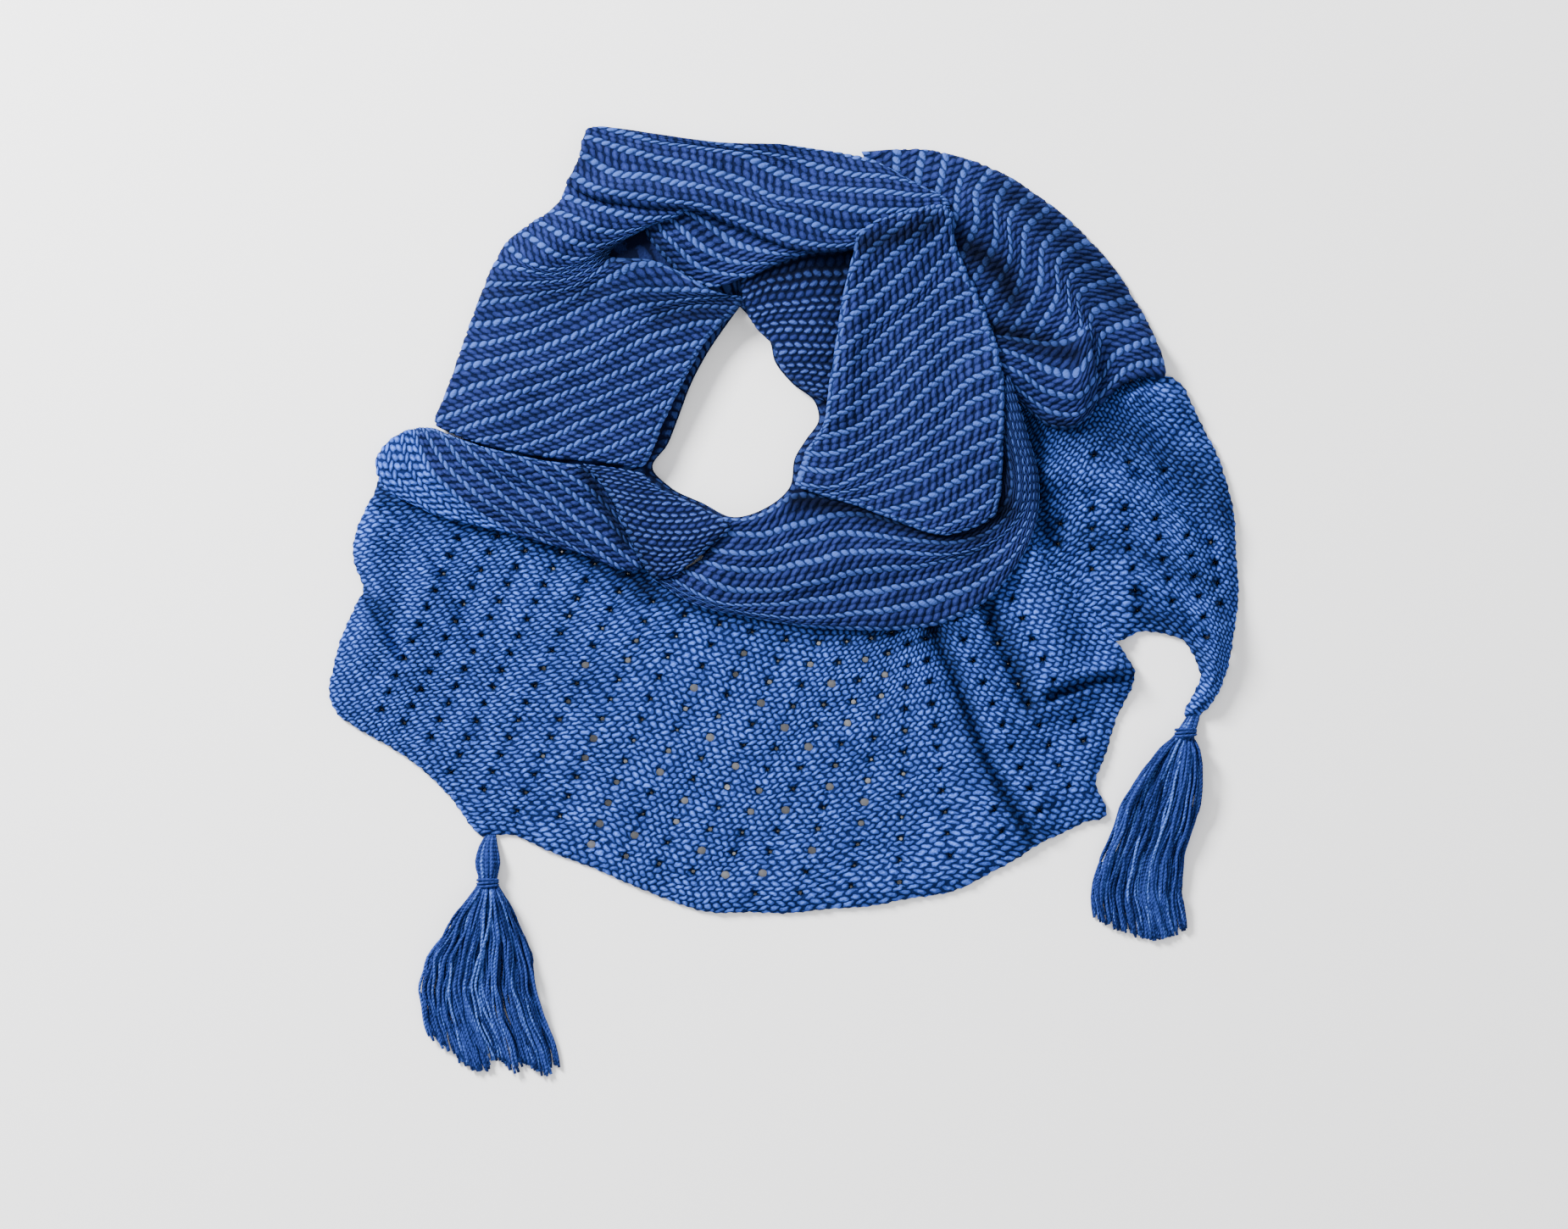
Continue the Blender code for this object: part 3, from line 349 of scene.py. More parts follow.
backArc = [
    (0, [(1018, 180), (1024, 200), (1034, 232)]),
    (2, [(1058, 177), (1058, 202), (1064, 238)]),
    (4, [(1090, 177), (1083, 210), (1080, 242)]),
    (6, [(1117, 182), (1109, 212), (1100, 250)]),
    (8, [(1143, 189), (1131, 222), (1124, 262), (1112, 288)]),
    (10, [(1170, 199), (1150, 232), (1151, 265), (1126, 318)]),
    (12, [(1195, 212), (1173, 243), (1174, 282), (1140, 345)]),
    (14, [(1218, 227), (1190, 262), (1190, 304), (1152, 374)]),
    (16, [(1240, 243), (1208, 277), (1205, 322), (1164, 398)]),
    (18, [(1263, 262), (1229, 293), (1226, 334), (1184, 406)]),
    (20, [(1286, 284), (1246, 313), (1245, 352), (1206, 414)]),
    (22, [(1305, 306), (1259, 332), (1259, 370), (1226, 424)]),
    (24, [(1321, 327), (1270, 353), (1272, 388), (1244, 434)]),
    (26, [(1336, 350), (1285, 376), (1284, 406), (1258, 444)]),
    (28, [(1350, 374), (1297, 402), (1292, 428), (1270, 454)]),
    (30, [(1362, 400), (1310, 424), (1300, 444), (1282, 466)]),
    (32, [(1371, 428), (1325, 438), (1312, 452), (1290, 474)]),
    (33, [(1374, 446), (1345, 447), (1318, 458), (1298, 480)]),
]

arcFold = [
    (0, [(1160, 396), (1205, 402), (1240, 406), (1264, 400), (1280, 388)]),
    (2, [(1163, 411), (1205, 423), (1237, 440), (1264, 442), (1287, 418)]),
    (4, [(1168, 426), (1207, 446), (1240, 466), (1268, 470), (1292, 446)]),
    (6, [(1176, 442), (1212, 470), (1242, 489), (1268, 490), (1292, 470)]),
    (8, [(1184, 458), (1216, 488), (1240, 504), (1264, 505), (1288, 488)]),
]

laceFrontEdge = [
    (443, 580), (430, 606), (418, 634), (416, 655), (
        421, 672,
    ), (430, 694), (419, 715), (405, 745), (395, 785),
    (388, 820), (396, 840), (420, 857), (460, 882), (
        500, 908,
    ), (530, 940), (553, 970), (566, 984), (600, 985),
    (640, 1000), (700, 1025), (750, 1045), (790, 1063), (830, 1074), (900, 1077), (980, 1073), (1060, 1063),
    (1140, 1045), (1190, 1018), (1225, 996), (
        1253, 984,
    ), (1280, 969), (1305, 961), (1303, 946), (1294, 928),
    (1304, 888), (1319, 845), (1334, 812), (1338, 793), (1331, 778), (1318, 757), (1290, 722), (1258, 690),
    (1228, 655), (1206, 628), (1190, 648), (1160, 672), (1110, 700), (1040, 706), (960, 702), (880, 690),
    (820, 678), (770, 648), (700, 622), (620, 600), (560, 588), (500, 570), (465, 562), (450, 562),
]

laceSideEdge = [
    (1302, 462), (1330, 450), (1372, 442), (1395, 455), (1408, 480), (1420, 508), (1440, 545), (1452, 590),
    (1458, 640), (1460, 690), (1456, 750), (1445, 795), (1431, 828), (1412, 846), (1397, 846), (1405, 825),
    (1415, 800), (1406, 772), (1397, 756), (1372, 747), (1345, 746), (1319, 756.2), (1291.2, 721.2),
    (1259.2, 689.2), (1229.2, 654.2), (1208, 627), (1200, 590), (
        1200, 560,
    ), (1192, 520), (1196, 490), (1222, 470), (1262, 464),
]

laceSideShown = [
    (1302, 462), (1330, 450), (1372, 442), (1395, 455), (1408, 480), (1420, 508), (1440, 545), (1452, 590),
    (1458, 640), (1460, 690), (1456, 750), (1445, 795), (1431, 828), (1412, 846), (1397, 846), (1405, 825),
    (1415, 800), (1406, 772), (1397, 756), (1372, 747), (1345, 746), (1318, 757), (1288.5, 723.5),
    (1256.5, 691.5), (1226.5, 656.5), (1205, 629), (
        1190, 590,
    ), (1184, 545), (1180, 500), (1198, 466), (1262, 458),
]

hiddenOutside = [
    (860, 196), (940, 198), (1010, 204), (1090, 200), (1140, 214), (1185, 240), (1225, 276), (1262, 318),
    (1288, 352), (1306, 386), (1312, 414), (1290, 436), (1262, 448), (1222, 452), (1196, 476), (1178, 510),
    (1190, 560), (1190, 600), (1172, 640), (1130, 672), (1060, 688), (980, 686), (900, 674), (840, 660),
    (790, 636), (740, 604), (680, 586), (610, 574), (
        560, 556,
    ), (545, 540), (552, 505), (566, 460), (582, 400),
    (598, 345), (622, 300), (662, 268), (690, 232), (702, 200), (712, 176), (780, 186),
]
hiddenInside = [
    (873, 362), (892, 382), (908, 402), (914, 426), (
        934, 452,
    ), (962, 476), (966, 494), (950, 520), (938, 540),
    (932, 574), (902, 600), (864, 610), (830, 594), (
        790, 574,
    ), (770, 552), (788, 524), (800, 494), (816, 452),
    (834, 418), (854, 388),
]

# Ridges of each piece: height in metres, half width in squares, line in squares.
folds = {
    "topBand": [
        (0.0045, 20, [(700, 225), (770, 228), (840, 230), (930, 250), (1060, 246)]),
        (0.0030, 20, [(700, 178), (780, 190), (900, 196)]),
    ],
    "leftArm": [
        (0.0050, 18, [(640, 300), (700, 268), (770, 246)]),
        (0.0040, 14, [(735, 345), (762, 328), (800, 340)]),
        (0.0025, 26, [(590, 470), (660, 430), (740, 400)]),
        (0.0020, 20, [(600, 330), (640, 300)]),
    ],
    "topPleat": [(0.0035, 13, [(800, 286), (850, 302), (910, 302), (980, 288)])],
    "rightFront": [
        (0.0045, 26, [(1060, 310), (1085, 400), (1085, 500), (1100, 580)]),
        (0.0030, 16, [(1000, 380), (1000, 480)]),
        (0.0025, 14, [(980, 556), (1050, 580), (1120, 610)]),
    ],
    "frontRoll": [
        (
            0.0050, 22,
            [(840, 668), (930, 676), (1020, 664), (1110, 660), (1180, 624), (1206, 570), (1196, 510)],
        ),
        (0.0025, 12, [(900, 712), (1020, 714), (1120, 696)]),
    ],
    "leftFront": [
        (0.0045, 16, [(470, 540), (520, 560), (580, 588), (650, 612), (715, 640)]),
        (0.0020, 14, [(560, 540), (640, 560), (690, 580)]),
    ],
    "turnedBack": [(0.0030, 16, [(735, 580), (790, 620), (815, 640)])],
    "neckInside": [(0.0015, 12, [(920, 372), (980, 372)])],
    "backArc": [
        (0.0085, 17, [(1140, 240), (1178, 262), (1212, 292), (1244, 330), (1266, 366), (1284, 410)]),
        (0.0022, 12, [(1165, 206), (1235, 256), (1300, 322), (1345, 395)]),
    ],
    "arcFold": [(0.0045, 14, [(1200, 440), (1240, 462), (1270, 462), (1288, 436)])],
    "lace": [
        (0.0100, 26, [(1212, 650), (1236, 700), (1246, 760), (1250, 810)]),
        (0.0060, 16, [(1135, 745), (1165, 820), (1195, 880), (1225, 940)]),
        (0.0045, 18, [(1080, 760), (1102, 840), (1130, 920), (1165, 985)]),
        (0.0070, 12, [(1262, 812), (1295, 795), (1328, 782)]),
        (0.0060, 22, [(450, 600), (440, 650), (452, 700), (436, 770)]),
        (0.0035, 24, [(520, 640), (500, 720), (470, 800)]),
        (0.0025, 40, [(620, 740), (700, 900), (760, 1010)]),
        (0.0025, 40, [(860, 780), (930, 900), (960, 1020)]),
        (0.0020, 16, [(600, 1000), (760, 1055), (900, 1064), (1100, 1046)]),
        (0.0080, 18, [(1300, 452), (1350, 462), (1398, 482)]),
        (
            0.0090, 20,
            [(1216, 560), (1290, 566), (1352, 592), (1398, 640), (1424, 700), (1434, 770), (1420, 826)],
        ),
        (0.0050, 14, [(1270, 640), (1330, 668), (1372, 700), (1400, 730)]),
        (0.0040, 14, [(1430, 560), (1446, 640), (1448, 720)]),
    ],
}

# Creases: how far the cloth beside one stands up, that swell's half width, the crease's own, and its line.
creases = {
    "lace": [
        (0.0045, 26, 7, [(1096, 735), (1116, 775), (1140, 830), (1164, 890), (1190, 940), (1219, 984)]),
        (0.0055, 30, 9, [(1166, 712), (1180, 755), (1198, 795), (1212, 826)]),
        (0.0040, 22, 7, [(1238, 822), (1262, 812), (1292, 802), (1334, 798)]),
        (0.0045, 26, 9, [(1342, 700), (1372, 716), (1398, 732), (1416, 750)]),
        (0.0030, 22, 8, [(1216, 556), (1228, 600), (1236, 640)]),
        (0.0030, 26, 9, [(1340, 560), (1390, 590), (1430, 640)]),
        (0.0035, 24, 8, [(424, 700), (442, 716), (462, 742), (476, 776)]),
        (0.0020, 34, 10, [(452, 600), (500, 640), (540, 700), (560, 760)]),
    ],
}

# Hollows that lie in shade between folds: depth of shade, half width, line.
hollows = {
    "leftArm": [
        (0.80, 15, [(716, 304), (745, 300), (775, 296)]),
        (0.55, 16, [(780, 375), (830, 366), (872, 360)]),
        (0.35, 14, [(690, 345), (740, 352), (790, 352)]),
        (0.35, 16, [(560, 345), (630, 348), (690, 350)]),
    ],
    "topPleat": [(0.75, 16, [(760, 280), (775, 300), (800, 328)]), (0.3, 10, [(800, 262), (850, 280)])],
    "topBand": [
        (0.35, 10, [(905, 292), (960, 302), (1010, 300), (1095, 270)]),
        (0.45, 14, [(680, 190), (672, 215)]),
    ],
    "neckInside": [(0.75, 30, [(890, 320), (960, 312), (1010, 312)]), (0.45, 24, [(990, 340), (985, 470)])],
    "rightFront": [
        (0.8, 15, [(1020, 292), (1060, 282), (1096, 268)]), (0.35, 12, [(1170, 560), (1180, 600)]),
    ],
    "frontRoll": [
        (0.9, 15, [(940, 590), (1000, 597), (1060, 614), (1110, 632), (1150, 630), (1178, 606)]),
        (0.85, 15, [(1184, 550), (1186, 600)]),
        (0.4, 10, [(1172, 460), (1184, 500), (1190, 540)]),
    ],
    "leftFront": [(0.8, 9, [(690, 556), (712, 590), (738, 640)])],
    "turnedBack": [(0.55, 10, [(700, 560), (735, 620), (770, 680)]), (0.4, 9, [(855, 626), (820, 660)])],
    "backArc": [
        (0.90, 20, [(1136, 292), (1160, 305), (1182, 325), (1192, 352)]),
        (0.92, 16, [(1172, 390), (1205, 400), (1240, 412), (1262, 428)]),
        (0.45, 18, [(1030, 205), (1060, 222), (1095, 238)]),
        (0.60, 17, [(1185, 225), (1220, 252), (1262, 288), (1300, 330), (1322, 362)]),
        (0.35, 12, [(1150, 300), (1140, 330)]),
    ],
    "arcFold": [
        (0.75, 15, [(1175, 396), (1220, 408), (1262, 420)]),
        (0.7, 12, [(1190, 480), (1225, 500), (1262, 508)]),
    ],
    "lace": [
        (0.75, 14, [(1100, 742), (1122, 785), (1142, 850), (1164, 905), (1192, 950), (1217, 986)]),
        (0.75, 16, [(1160, 705), (1182, 750), (1202, 795), (1216, 832)]),
        (0.70, 22, [(455, 580), (520, 600), (620, 628), (700, 658), (760, 690)]),
        (0.60, 18, [(760, 694), (860, 728), (960, 742), (1060, 748), (1130, 738)]),
        (0.55, 14, [(1245, 822), (1290, 806), (1335, 797)]),
        (0.50, 14, [(418, 690), (440, 715), (455, 728)]),
        (0.62, 30, [(1215, 500), (1270, 506), (1340, 520), (1410, 560), (1430, 600)]),
        (0.50, 16, [(1250, 628), (1310, 640), (1370, 660), (1420, 690)]),
        (0.62, 18, [(1345, 722), (1385, 738), (1408, 780)]),
        (0.55, 14, [(1206, 500), (1228, 560), (1228, 620)]),
    ],
}


# Heights of everything laid so far


class Heap:
    def __init__(self):
        self.top = np.zeros((plan["cells"], plan["cells"]))

    def samples(self, points, triangles):
        corner0 = (plan["left"], plan["top"])
        owner, share, cells = [], [], []
        extra = np.array(
            [(1, 0, 0), (0, 1, 0), (0, 0, 1), (0.5, 0.5, 0), (0, 0.5, 0.5), (0.5, 0, 0.5)], float,
        )
        for index, triangle in enumerate(triangles):
            corner = points[triangle]
            low = np.floor((corner.min(axis=0) - corner0) / plan["cell"]).astype(int)
            high = np.ceil((corner.max(axis=0) - corner0) / plan["cell"]).astype(int)
            xs, ys = np.meshgrid(np.arange(low[0], high[0] + 1), np.arange(low[1], high[1] + 1))
            place = np.stack([xs.ravel(), ys.ravel()], axis=1) * plan["cell"] + corner0
            matrix = np.array([corner[1] - corner[0], corner[2] - corner[0]]).T
            if abs(np.linalg.det(matrix)) < 1e-9:
                continue
            weights = np.linalg.solve(matrix, (place - corner[0]).T).T
            weights = np.column_stack([1 - weights.sum(axis=1), weights])
            keep = weights.min(axis=1) > -1e-6
            place = np.vstack([place[keep], extra @ corner])
            weights = np.vstack([weights[keep], extra])
            owner.append(np.full(len(place), index))
            share.append(weights)
            cells.append(np.round((place - corner0) / plan["cell"]).astype(int))
        return np.concatenate(owner), np.vstack(share), np.vstack(cells)

    def widened(self):
        wide = self.top.copy()
        for dy in (-1, 0, 1):
            for dx in (-1, 0, 1):
                wide = np.maximum(wide, np.roll(self.top, (dy, dx), axis=(0, 1)))
        return wide

    def lay(self, points, triangles, rounds=14):
        owner, share, cells = self.samples(points, triangles)
        wide = self.widened()
        need = np.where(wide > 0, wide + plan["apart"], 0.0)[cells[:, 1], cells[:, 0]]
        count = len(points)
        pairs = np.vstack([triangles[:, [0, 1]], triangles[:, [1, 2]], triangles[:, [2, 0]]])
        edge = np.zeros(count, bool)
        edge[openEdges(triangles).ravel()] = True

        def raised(height):
            over = need - (share * height[triangles[owner]]).sum(axis=1)
            worst = np.zeros(len(triangles))
            np.maximum.at(worst, owner, over)
            lift = np.zeros(count)
            for corner in range(3):
                np.maximum.at(lift, triangles[:, corner], worst)
            return height + lift

        height = raised(np.zeros(count))
        for _ in range(rounds):
            total = np.zeros(count)
            number = np.zeros(count)
            for a, b in ((0, 1), (1, 0)):
                np.add.at(total, pairs[:, a], height[pairs[:, b]])
                np.add.at(number, pairs[:, a], 1)
            eased = 0.45 * height + 0.55 * total / np.maximum(number, 1)
            eased = np.where(edge, np.minimum(height, eased), eased)
            height = raised(np.maximum(eased - 0.00012, 0.0))
        return height

    def add(self, points, triangles, height):
        owner, share, cells = self.samples(points, triangles)
        values = (share * height[triangles[owner]]).sum(axis=1)
        np.maximum.at(self.top, (cells[:, 1], cells[:, 0]), values)


def openEdges(triangles):
    seen = {}
    for a, b, c in triangles:
        for start, end in ((a, b), (b, c), (c, a)):
            seen[(int(start), int(end))] = True
    return np.array([pair for pair in seen if (pair[1], pair[0]) not in seen])


def foldHeight(name, points):
    total = np.zeros(len(points))
    for height, halfWidth, line in folds.get(name, []):
        rise = height * np.exp(-((lineDistance(points, line) / halfWidth) ** 2))
        total = np.maximum(total, rise) + 0.35 * np.minimum(total, rise)
    return total


def creased(name, points, rise):
    # Cloth swells to both sides of a crease and dips sharply into it.
    for height, halfWidth, narrow, line in creases.get(name, []):
        away = lineDistance(points, line)
        swell = height * np.exp(-((away / halfWidth) ** 2))
        rise = (rise + swell) * (1 - 0.92 * np.exp(-((away / narrow) ** 2)))
    return rise


def hollowShade(name, points):
    light = np.ones(len(points))
    for depth, halfWidth, line in hollows.get(name, []):
        light *= 1 - depth * np.exp(-((lineDistance(points, line) / halfWidth) ** 2))
    return light


def coarseTriangles(points, across, along):
    triangles = []
    for row in range(along):
        for column in range(across):
            a = row * (across + 1) + column
            b, c, d = a + 1, a + across + 2, a + across + 1
            one, other = [(a, b, c), (a, c, d)], [(a, b, d), (b, c, d)]
            triangles += max(one, other, key=lambda pair: smallestArea(points, pair))
    wound = []
    for a, b, c in triangles:
        wound.append((a, c, b) if signedArea(points, a, b, c) > 0 else (a, b, c))
    return np.array(wound)


def signedArea(points, a, b, c):
    ab, ac = points[b] - points[a], points[c] - points[a]
    return ab[0] * ac[1] - ab[1] * ac[0]


def smallestArea(points, pair):
    first, second = signedArea(points, *pair[0]), signedArea(points, *pair[1])
    return min(abs(first), abs(second)) if first * second > 0 else -1.0


# Stitches


def stitchRelief(u, v, kind="striped"):
    # Rows of slanting dashes, each row half a stitch along from the last.
    look = dashes[kind]
    place = v * look["rowsPerRidge"]
    row = np.floor(place + 0.5)
    along = (u + 0.5 * row) % 1.0 - 0.5
    lean = look["lean"] * (1 - 2 * np.minimum(row % look["period"], 1))
    across = (place - row - along * lean) / look["halfAcross"]
    return np.sqrt(np.maximum(1 - across**2 - (along / look["halfAlong"]) ** 2, 0))


def handWobble(points, seed):
    # Hand knitting is never even: slow waves in place and size.
    x, y = points[:, 0] * 0.05, points[:, 1] * 0.05
    a = np.sin(x * 1.31 + y * 0.73 + seed) + np.sin(x * 0.47 - y * 1.17 + 2.1 * seed)
    b = np.sin(x * 2.23 - y * 0.61 + 1.7 * seed) + np.sin(x * 0.89 + y * 2.07 + 0.6 * seed)
    fine = np.sin(x * 6.1 + 3.0 * np.sin(y * 2.3 + seed)) * np.sin(y * 5.3 + 2.0 * np.sin(x * 1.9))
    return 0.5 * a + 0.12 * fine, 0.5 * b - 0.12 * fine


def wales(grid):
    # Stitch numbers along each course, kept square to the course below.
    metres = grid * plan["square"]
    numbers = np.zeros(grid.shape[:2])
    steps = np.linalg.norm(np.diff(metres, axis=1), axis=2) / knit["stitchWide"]
    start = len(grid) // 2
    numbers[start, 1:] = np.cumsum(steps[start])
    middle = grid.shape[1] // 2

    def follow(row, before):
        run = np.concatenate([[0.0], np.cumsum(steps[row])])
        place = grid[row, middle]
        along = grid[before, 1:] - grid[before, :-1]
        t = ((place - grid[before, :-1]) * along).sum(axis=1) / np.maximum((along**2).sum(axis=1), 1e-9)
        t = np.clip(t, 0, 1)
        near = grid[before, :-1] + along * t[:, None]
        best = int(np.argmin(np.linalg.norm(near - place, axis=1)))
        met = numbers[before, best] + t[best] * (numbers[before, best + 1] - numbers[before, best])
        numbers[row] = run - run[middle] + met

    for row in range(start + 1, len(grid)):
        follow(row, row - 1)
    for row in range(start - 1, -1, -1):
        follow(row, row + 1)
    return numbers


def makeMesh(name, vertices, faces, stitches=None, shade=None, edging=None):
    mesh = bpy.data.meshes.new(name)
    mesh.from_pydata(np.asarray(vertices, float).tolist(), [], faces)
    mesh.update()
    loops = np.zeros(len(mesh.loops), int)
    mesh.loops.foreach_get("vertex_index", loops)
    if stitches is not None:
        layer = mesh.uv_layers.new(name="stitches")
        layer.data.foreach_set("uv", np.asarray(stitches, float)[loops].ravel())
    for label, values in (("shade", shade), ("edging", edging)):
        if values is not None:
            attribute = mesh.attributes.new(label, "FLOAT", "POINT")
            attribute.data.foreach_set("value", np.asarray(values, float))
    mesh.polygons.foreach_set("use_smooth", [True] * len(mesh.polygons))
    item = bpy.data.objects.new(name, mesh)
    bpy.context.scene.collection.objects.link(item)
    return item


def roundedEdge(gap, wall):
    # How much of the wall's height stands at this distance from an edge.
    t = np.clip(gap / knit["edgeRound"], 0, 1)
    return wall * (0.30 + 0.70 * np.sqrt(1 - (1 - t) ** 2))


def bumpyRim(grid, relief):
    # Every stitch at an edge stands out a little.
    out = grid.copy()
    for edge, inner in (((0,), (2,)), ((-1,), (-3,))):
        for turned in (False, True):
            source = grid.transpose(1, 0, 2) if turned else grid
            target = out.transpose(1, 0, 2) if turned else out
            amount = (relief.T if turned else relief)[edge[0]] - 0.4
            away = source[edge[0]] - source[inner[0]]
            away /= np.maximum(np.linalg.norm(away, axis=1), 1e-6)[:, None]
            target[edge[0]] += away * (amount * knit["edgeBump"])[:, None]
    return out


def edgeGaps(grid):
    metres = grid * plan["square"]
    along = np.linalg.norm(np.diff(metres, axis=1), axis=2)
    up = np.linalg.norm(np.diff(metres, axis=0), axis=2)
    left = np.concatenate([np.zeros((len(grid), 1)), np.cumsum(along, axis=1)], axis=1)
    right = left[:, -1:] - left
    low = np.concatenate([np.zeros((1, grid.shape[1])), np.cumsum(up, axis=0)], axis=0)
    high = low[-1:] - low
    return left, right, low, high


def refine(coarse, fineAcross, fineAlong):
    rows = curveThrough(np.linspace(0, 1, coarse.shape[0]), coarse, np.linspace(0, 1, fineAlong + 1))
    both = curveThrough(np.linspace(0, 1, coarse.shape[1]), rows.T, np.linspace(0, 1, fineAcross + 1))
    return both.T


def knittedStretch(name, table, across, along, look, chainSide=None):
    grid = courseGrid(table, across, along)
    flat = grid.reshape(-1, 2)
    triangles = coarseTriangles(flat, across, along)
    under = heap.lay(flat, triangles)
    rim = np.zeros(len(flat), bool)
    rim[openEdges(triangles).ravel()] = True
    rise = foldHeight(name, flat)
    wall = knit["garterWall"]
    solid = under + rise - np.where(rim, 0.65 * rise, 0)
    heap.add(flat, triangles, solid + np.where(rim, wall * 0.66, wall))

    ridges = (table[-1][0] - table[0][0])
    fineAlong = max(12, int(round(ridges * 6.6 / 6)) * 6)
    longest = np.linalg.norm(np.diff(grid, axis=1), axis=2).sum(axis=1).max() * plan["square"]
    fineAcross = max(12, int(round(longest / 0.00105 / 6)) * 6)
    fine = courseGrid(table, fineAcross, fineAlong)
    bottom = np.maximum(refine(solid.reshape(along + 1, across + 1), fineAcross, fineAlong), 0.0)
    numbers = np.linspace(table[0][0], table[-1][0], fineAlong + 1)[:, None] + np.zeros((1, fineAcross + 1))
    stitchAlong = wales(fine)
    points = fine.reshape(-1, 2)
    seed = look["seed"]
    sideways, upward = handWobble(points, seed)
    u = stitchAlong.ravel() + 0.16 * sideways
    v = numbers.ravel() + 0.10 * upward
    fine = bumpyRim(fine, stitchRelief(u, v).reshape(fine.shape[:2]))
    points = fine.reshape(-1, 2)
    gaps = edgeGaps(fine)
    gap = np.minimum.reduce(gaps).ravel()
    calm = smoothstep(gap, 0.0, 0.003)
    top = bottom.ravel() + roundedEdge(gap, wall) + knit["relief"] * (stitchRelief(u, v) - 0.45) * calm
    edgeSize = {"left": gaps[0], "right": gaps[1], "low": gaps[2], "high": gaps[3]}
    edging = np.full(len(points), 0.05)
    for side in (chainSide or "").split():
        edging = np.minimum(edging, edgeSize[side].ravel())
    shade = hollowShade(name, points)
    return shellPiece(name, points, bottom.ravel(), top, u, v, shade, edging, fineAcross, fineAlong)


def shellPiece(name, points, bottom, top, u, v, shade, edging, across, along, skip=6):
    # A fine top, and an underside with every sixth point, joined round the rim.
    floor = onFloor(points)
    upper = np.column_stack([floor, top])
    count = len(points)
    index = np.arange(count).reshape(along + 1, across + 1)
    quads = np.stack(
        [index[:-1, :-1], index[:-1, 1:], index[1:, 1:], index[1:, :-1]], axis=-1,
    ).reshape(-1, 4)
    a, b, d = floor[quads[:, 0]], floor[quads[:, 1]], floor[quads[:, 3]]
    turning = ((b - a)[:, 0] * (d - a)[:, 1] - (b - a)[:, 1] * (d - a)[:, 0]).sum()
    flip = turning < 0
    faces = quads[:, ::-1].tolist() if flip else quads.tolist()
    coarse = index[::skip, ::skip]
    lower = np.column_stack([floor[coarse.ravel()], bottom[coarse.ravel()]])
    number = np.arange(coarse.size).reshape(coarse.shape) + count
    below = np.stack(
        [number[:-1, :-1], number[:-1, 1:], number[1:, 1:], number[1:, :-1]], axis=-1,
    ).reshape(-1, 4)
    faces += below.tolist() if flip else below[:, ::-1].tolist()
    # The rim, walked once round: the fine points and the coarse ones below them.
    fineLoop = list(index[0, :]) + list(index[1:, -1]) + list(index[-1, -2::-1]) + list(index[-2:0:-1, 0])
    coarseLoop = list(number[0, :]) + list(number[1:, -1])
    coarseLoop += list(number[-1, -2::-1]) + list(number[-2:0:-1, 0])
    for step in range(len(coarseLoop)):
        here, after = coarseLoop[step], coarseLoop[(step + 1) % len(coarseLoop)]
        run = [fineLoop[(step * skip + k) % len(fineLoop)] for k in range(skip + 1)]
        half = skip // 2
        strip = [(here, run[k + 1], run[k]) for k in range(half)]
        strip.append((here, after, run[half]))
        strip += [(after, run[k + 1], run[k]) for k in range(half, skip)]
        faces += [face[::-1] for face in strip] if flip else strip
    pick = coarse.ravel()
    # The underside points get 0.85 of the shade above them: painted shade on the rim walls.
    return makeMesh(
        name,
        np.vstack([upper, lower]),
        [tuple(map(int, face)) for face in faces],
        np.column_stack([np.concatenate([u, u[pick]]), np.concatenate([v, v[pick]])]),
        np.concatenate([shade, shade[pick] * 0.85]),
        np.concatenate([edging, edging[pick]]),
    )


# Lace, on its own lattice of eyelets: a column's place on the middle row and its step down.
lace = {
    "columns": [
        (443, 857, -9, 20.0), (478, 853, -10, 20.0), (520, 850, -10, 20.0), (563, 851, -10, 20.0),
        (612, 850, -10, 20.5), (661, 849, -10, 21.5), (711, 848, -10, 23.0), (758, 849, -10, 24.5),
        (799, 861, -10, 24.8), (838, 870, -10, 24.8), (878, 879, -10, 24.8), (916, 883, -10, 24.8),
        (954, 881, -9, 24.8), (993, 878, -7, 25.0), (1032, 871, -4, 25.0), (1068, 862, -1, 25.5),
        (1103, 856, 3, 25.5), (1141, 853, 8, 25.5), (1181, 855, 11, 25.0), (1225, 855, 12, 24.0),
        (1266, 850, 12, 24.0),
    ],
    "rows": (-11, 10),
    "sideColumns": [
        (1250, 618, -2, 24.0), (1288, 600, 0, 24.0), (1326, 600, 3, 24.0), (1362, 612, 5, 24.0),
        (1398, 632, 5, 24.0), (1428, 640, 3, 24.0),
    ],
    "sideRows": (0, 6),
    "sideLight": [(1290, 538), (1331, 546), (1372, 556)],
    "free": [
        [(1100, 745), (1120, 780), (1140, 850), (1160, 900), (1190, 950), (1215, 985)],
        [(1240, 822), (1290, 806), (1335, 796)],
    ],
    "hem": 21.0,
    "eyeletWide": 10.4,
    "eyeletTall": 9.4,
    "eyeletReach": 20,  # squares searched round each eyelet
    "freeGap": 11,
    "seamGap": 14,
    "stitchesPerColumn": 4,
    "ridgesPerRow": 2,
    "edgeStep": 5.6,  # squares from bump to bump round the edge
    "edgeBump": 1.0,
    "drift": 1.6,
    "swell": 0.0026,
    "ripple": 0.0026,
    "pucker": 0.0010,
    "seam": [(1206, 628), (1228, 655), (1258, 690), (1290, 722), (1318, 757)],
}


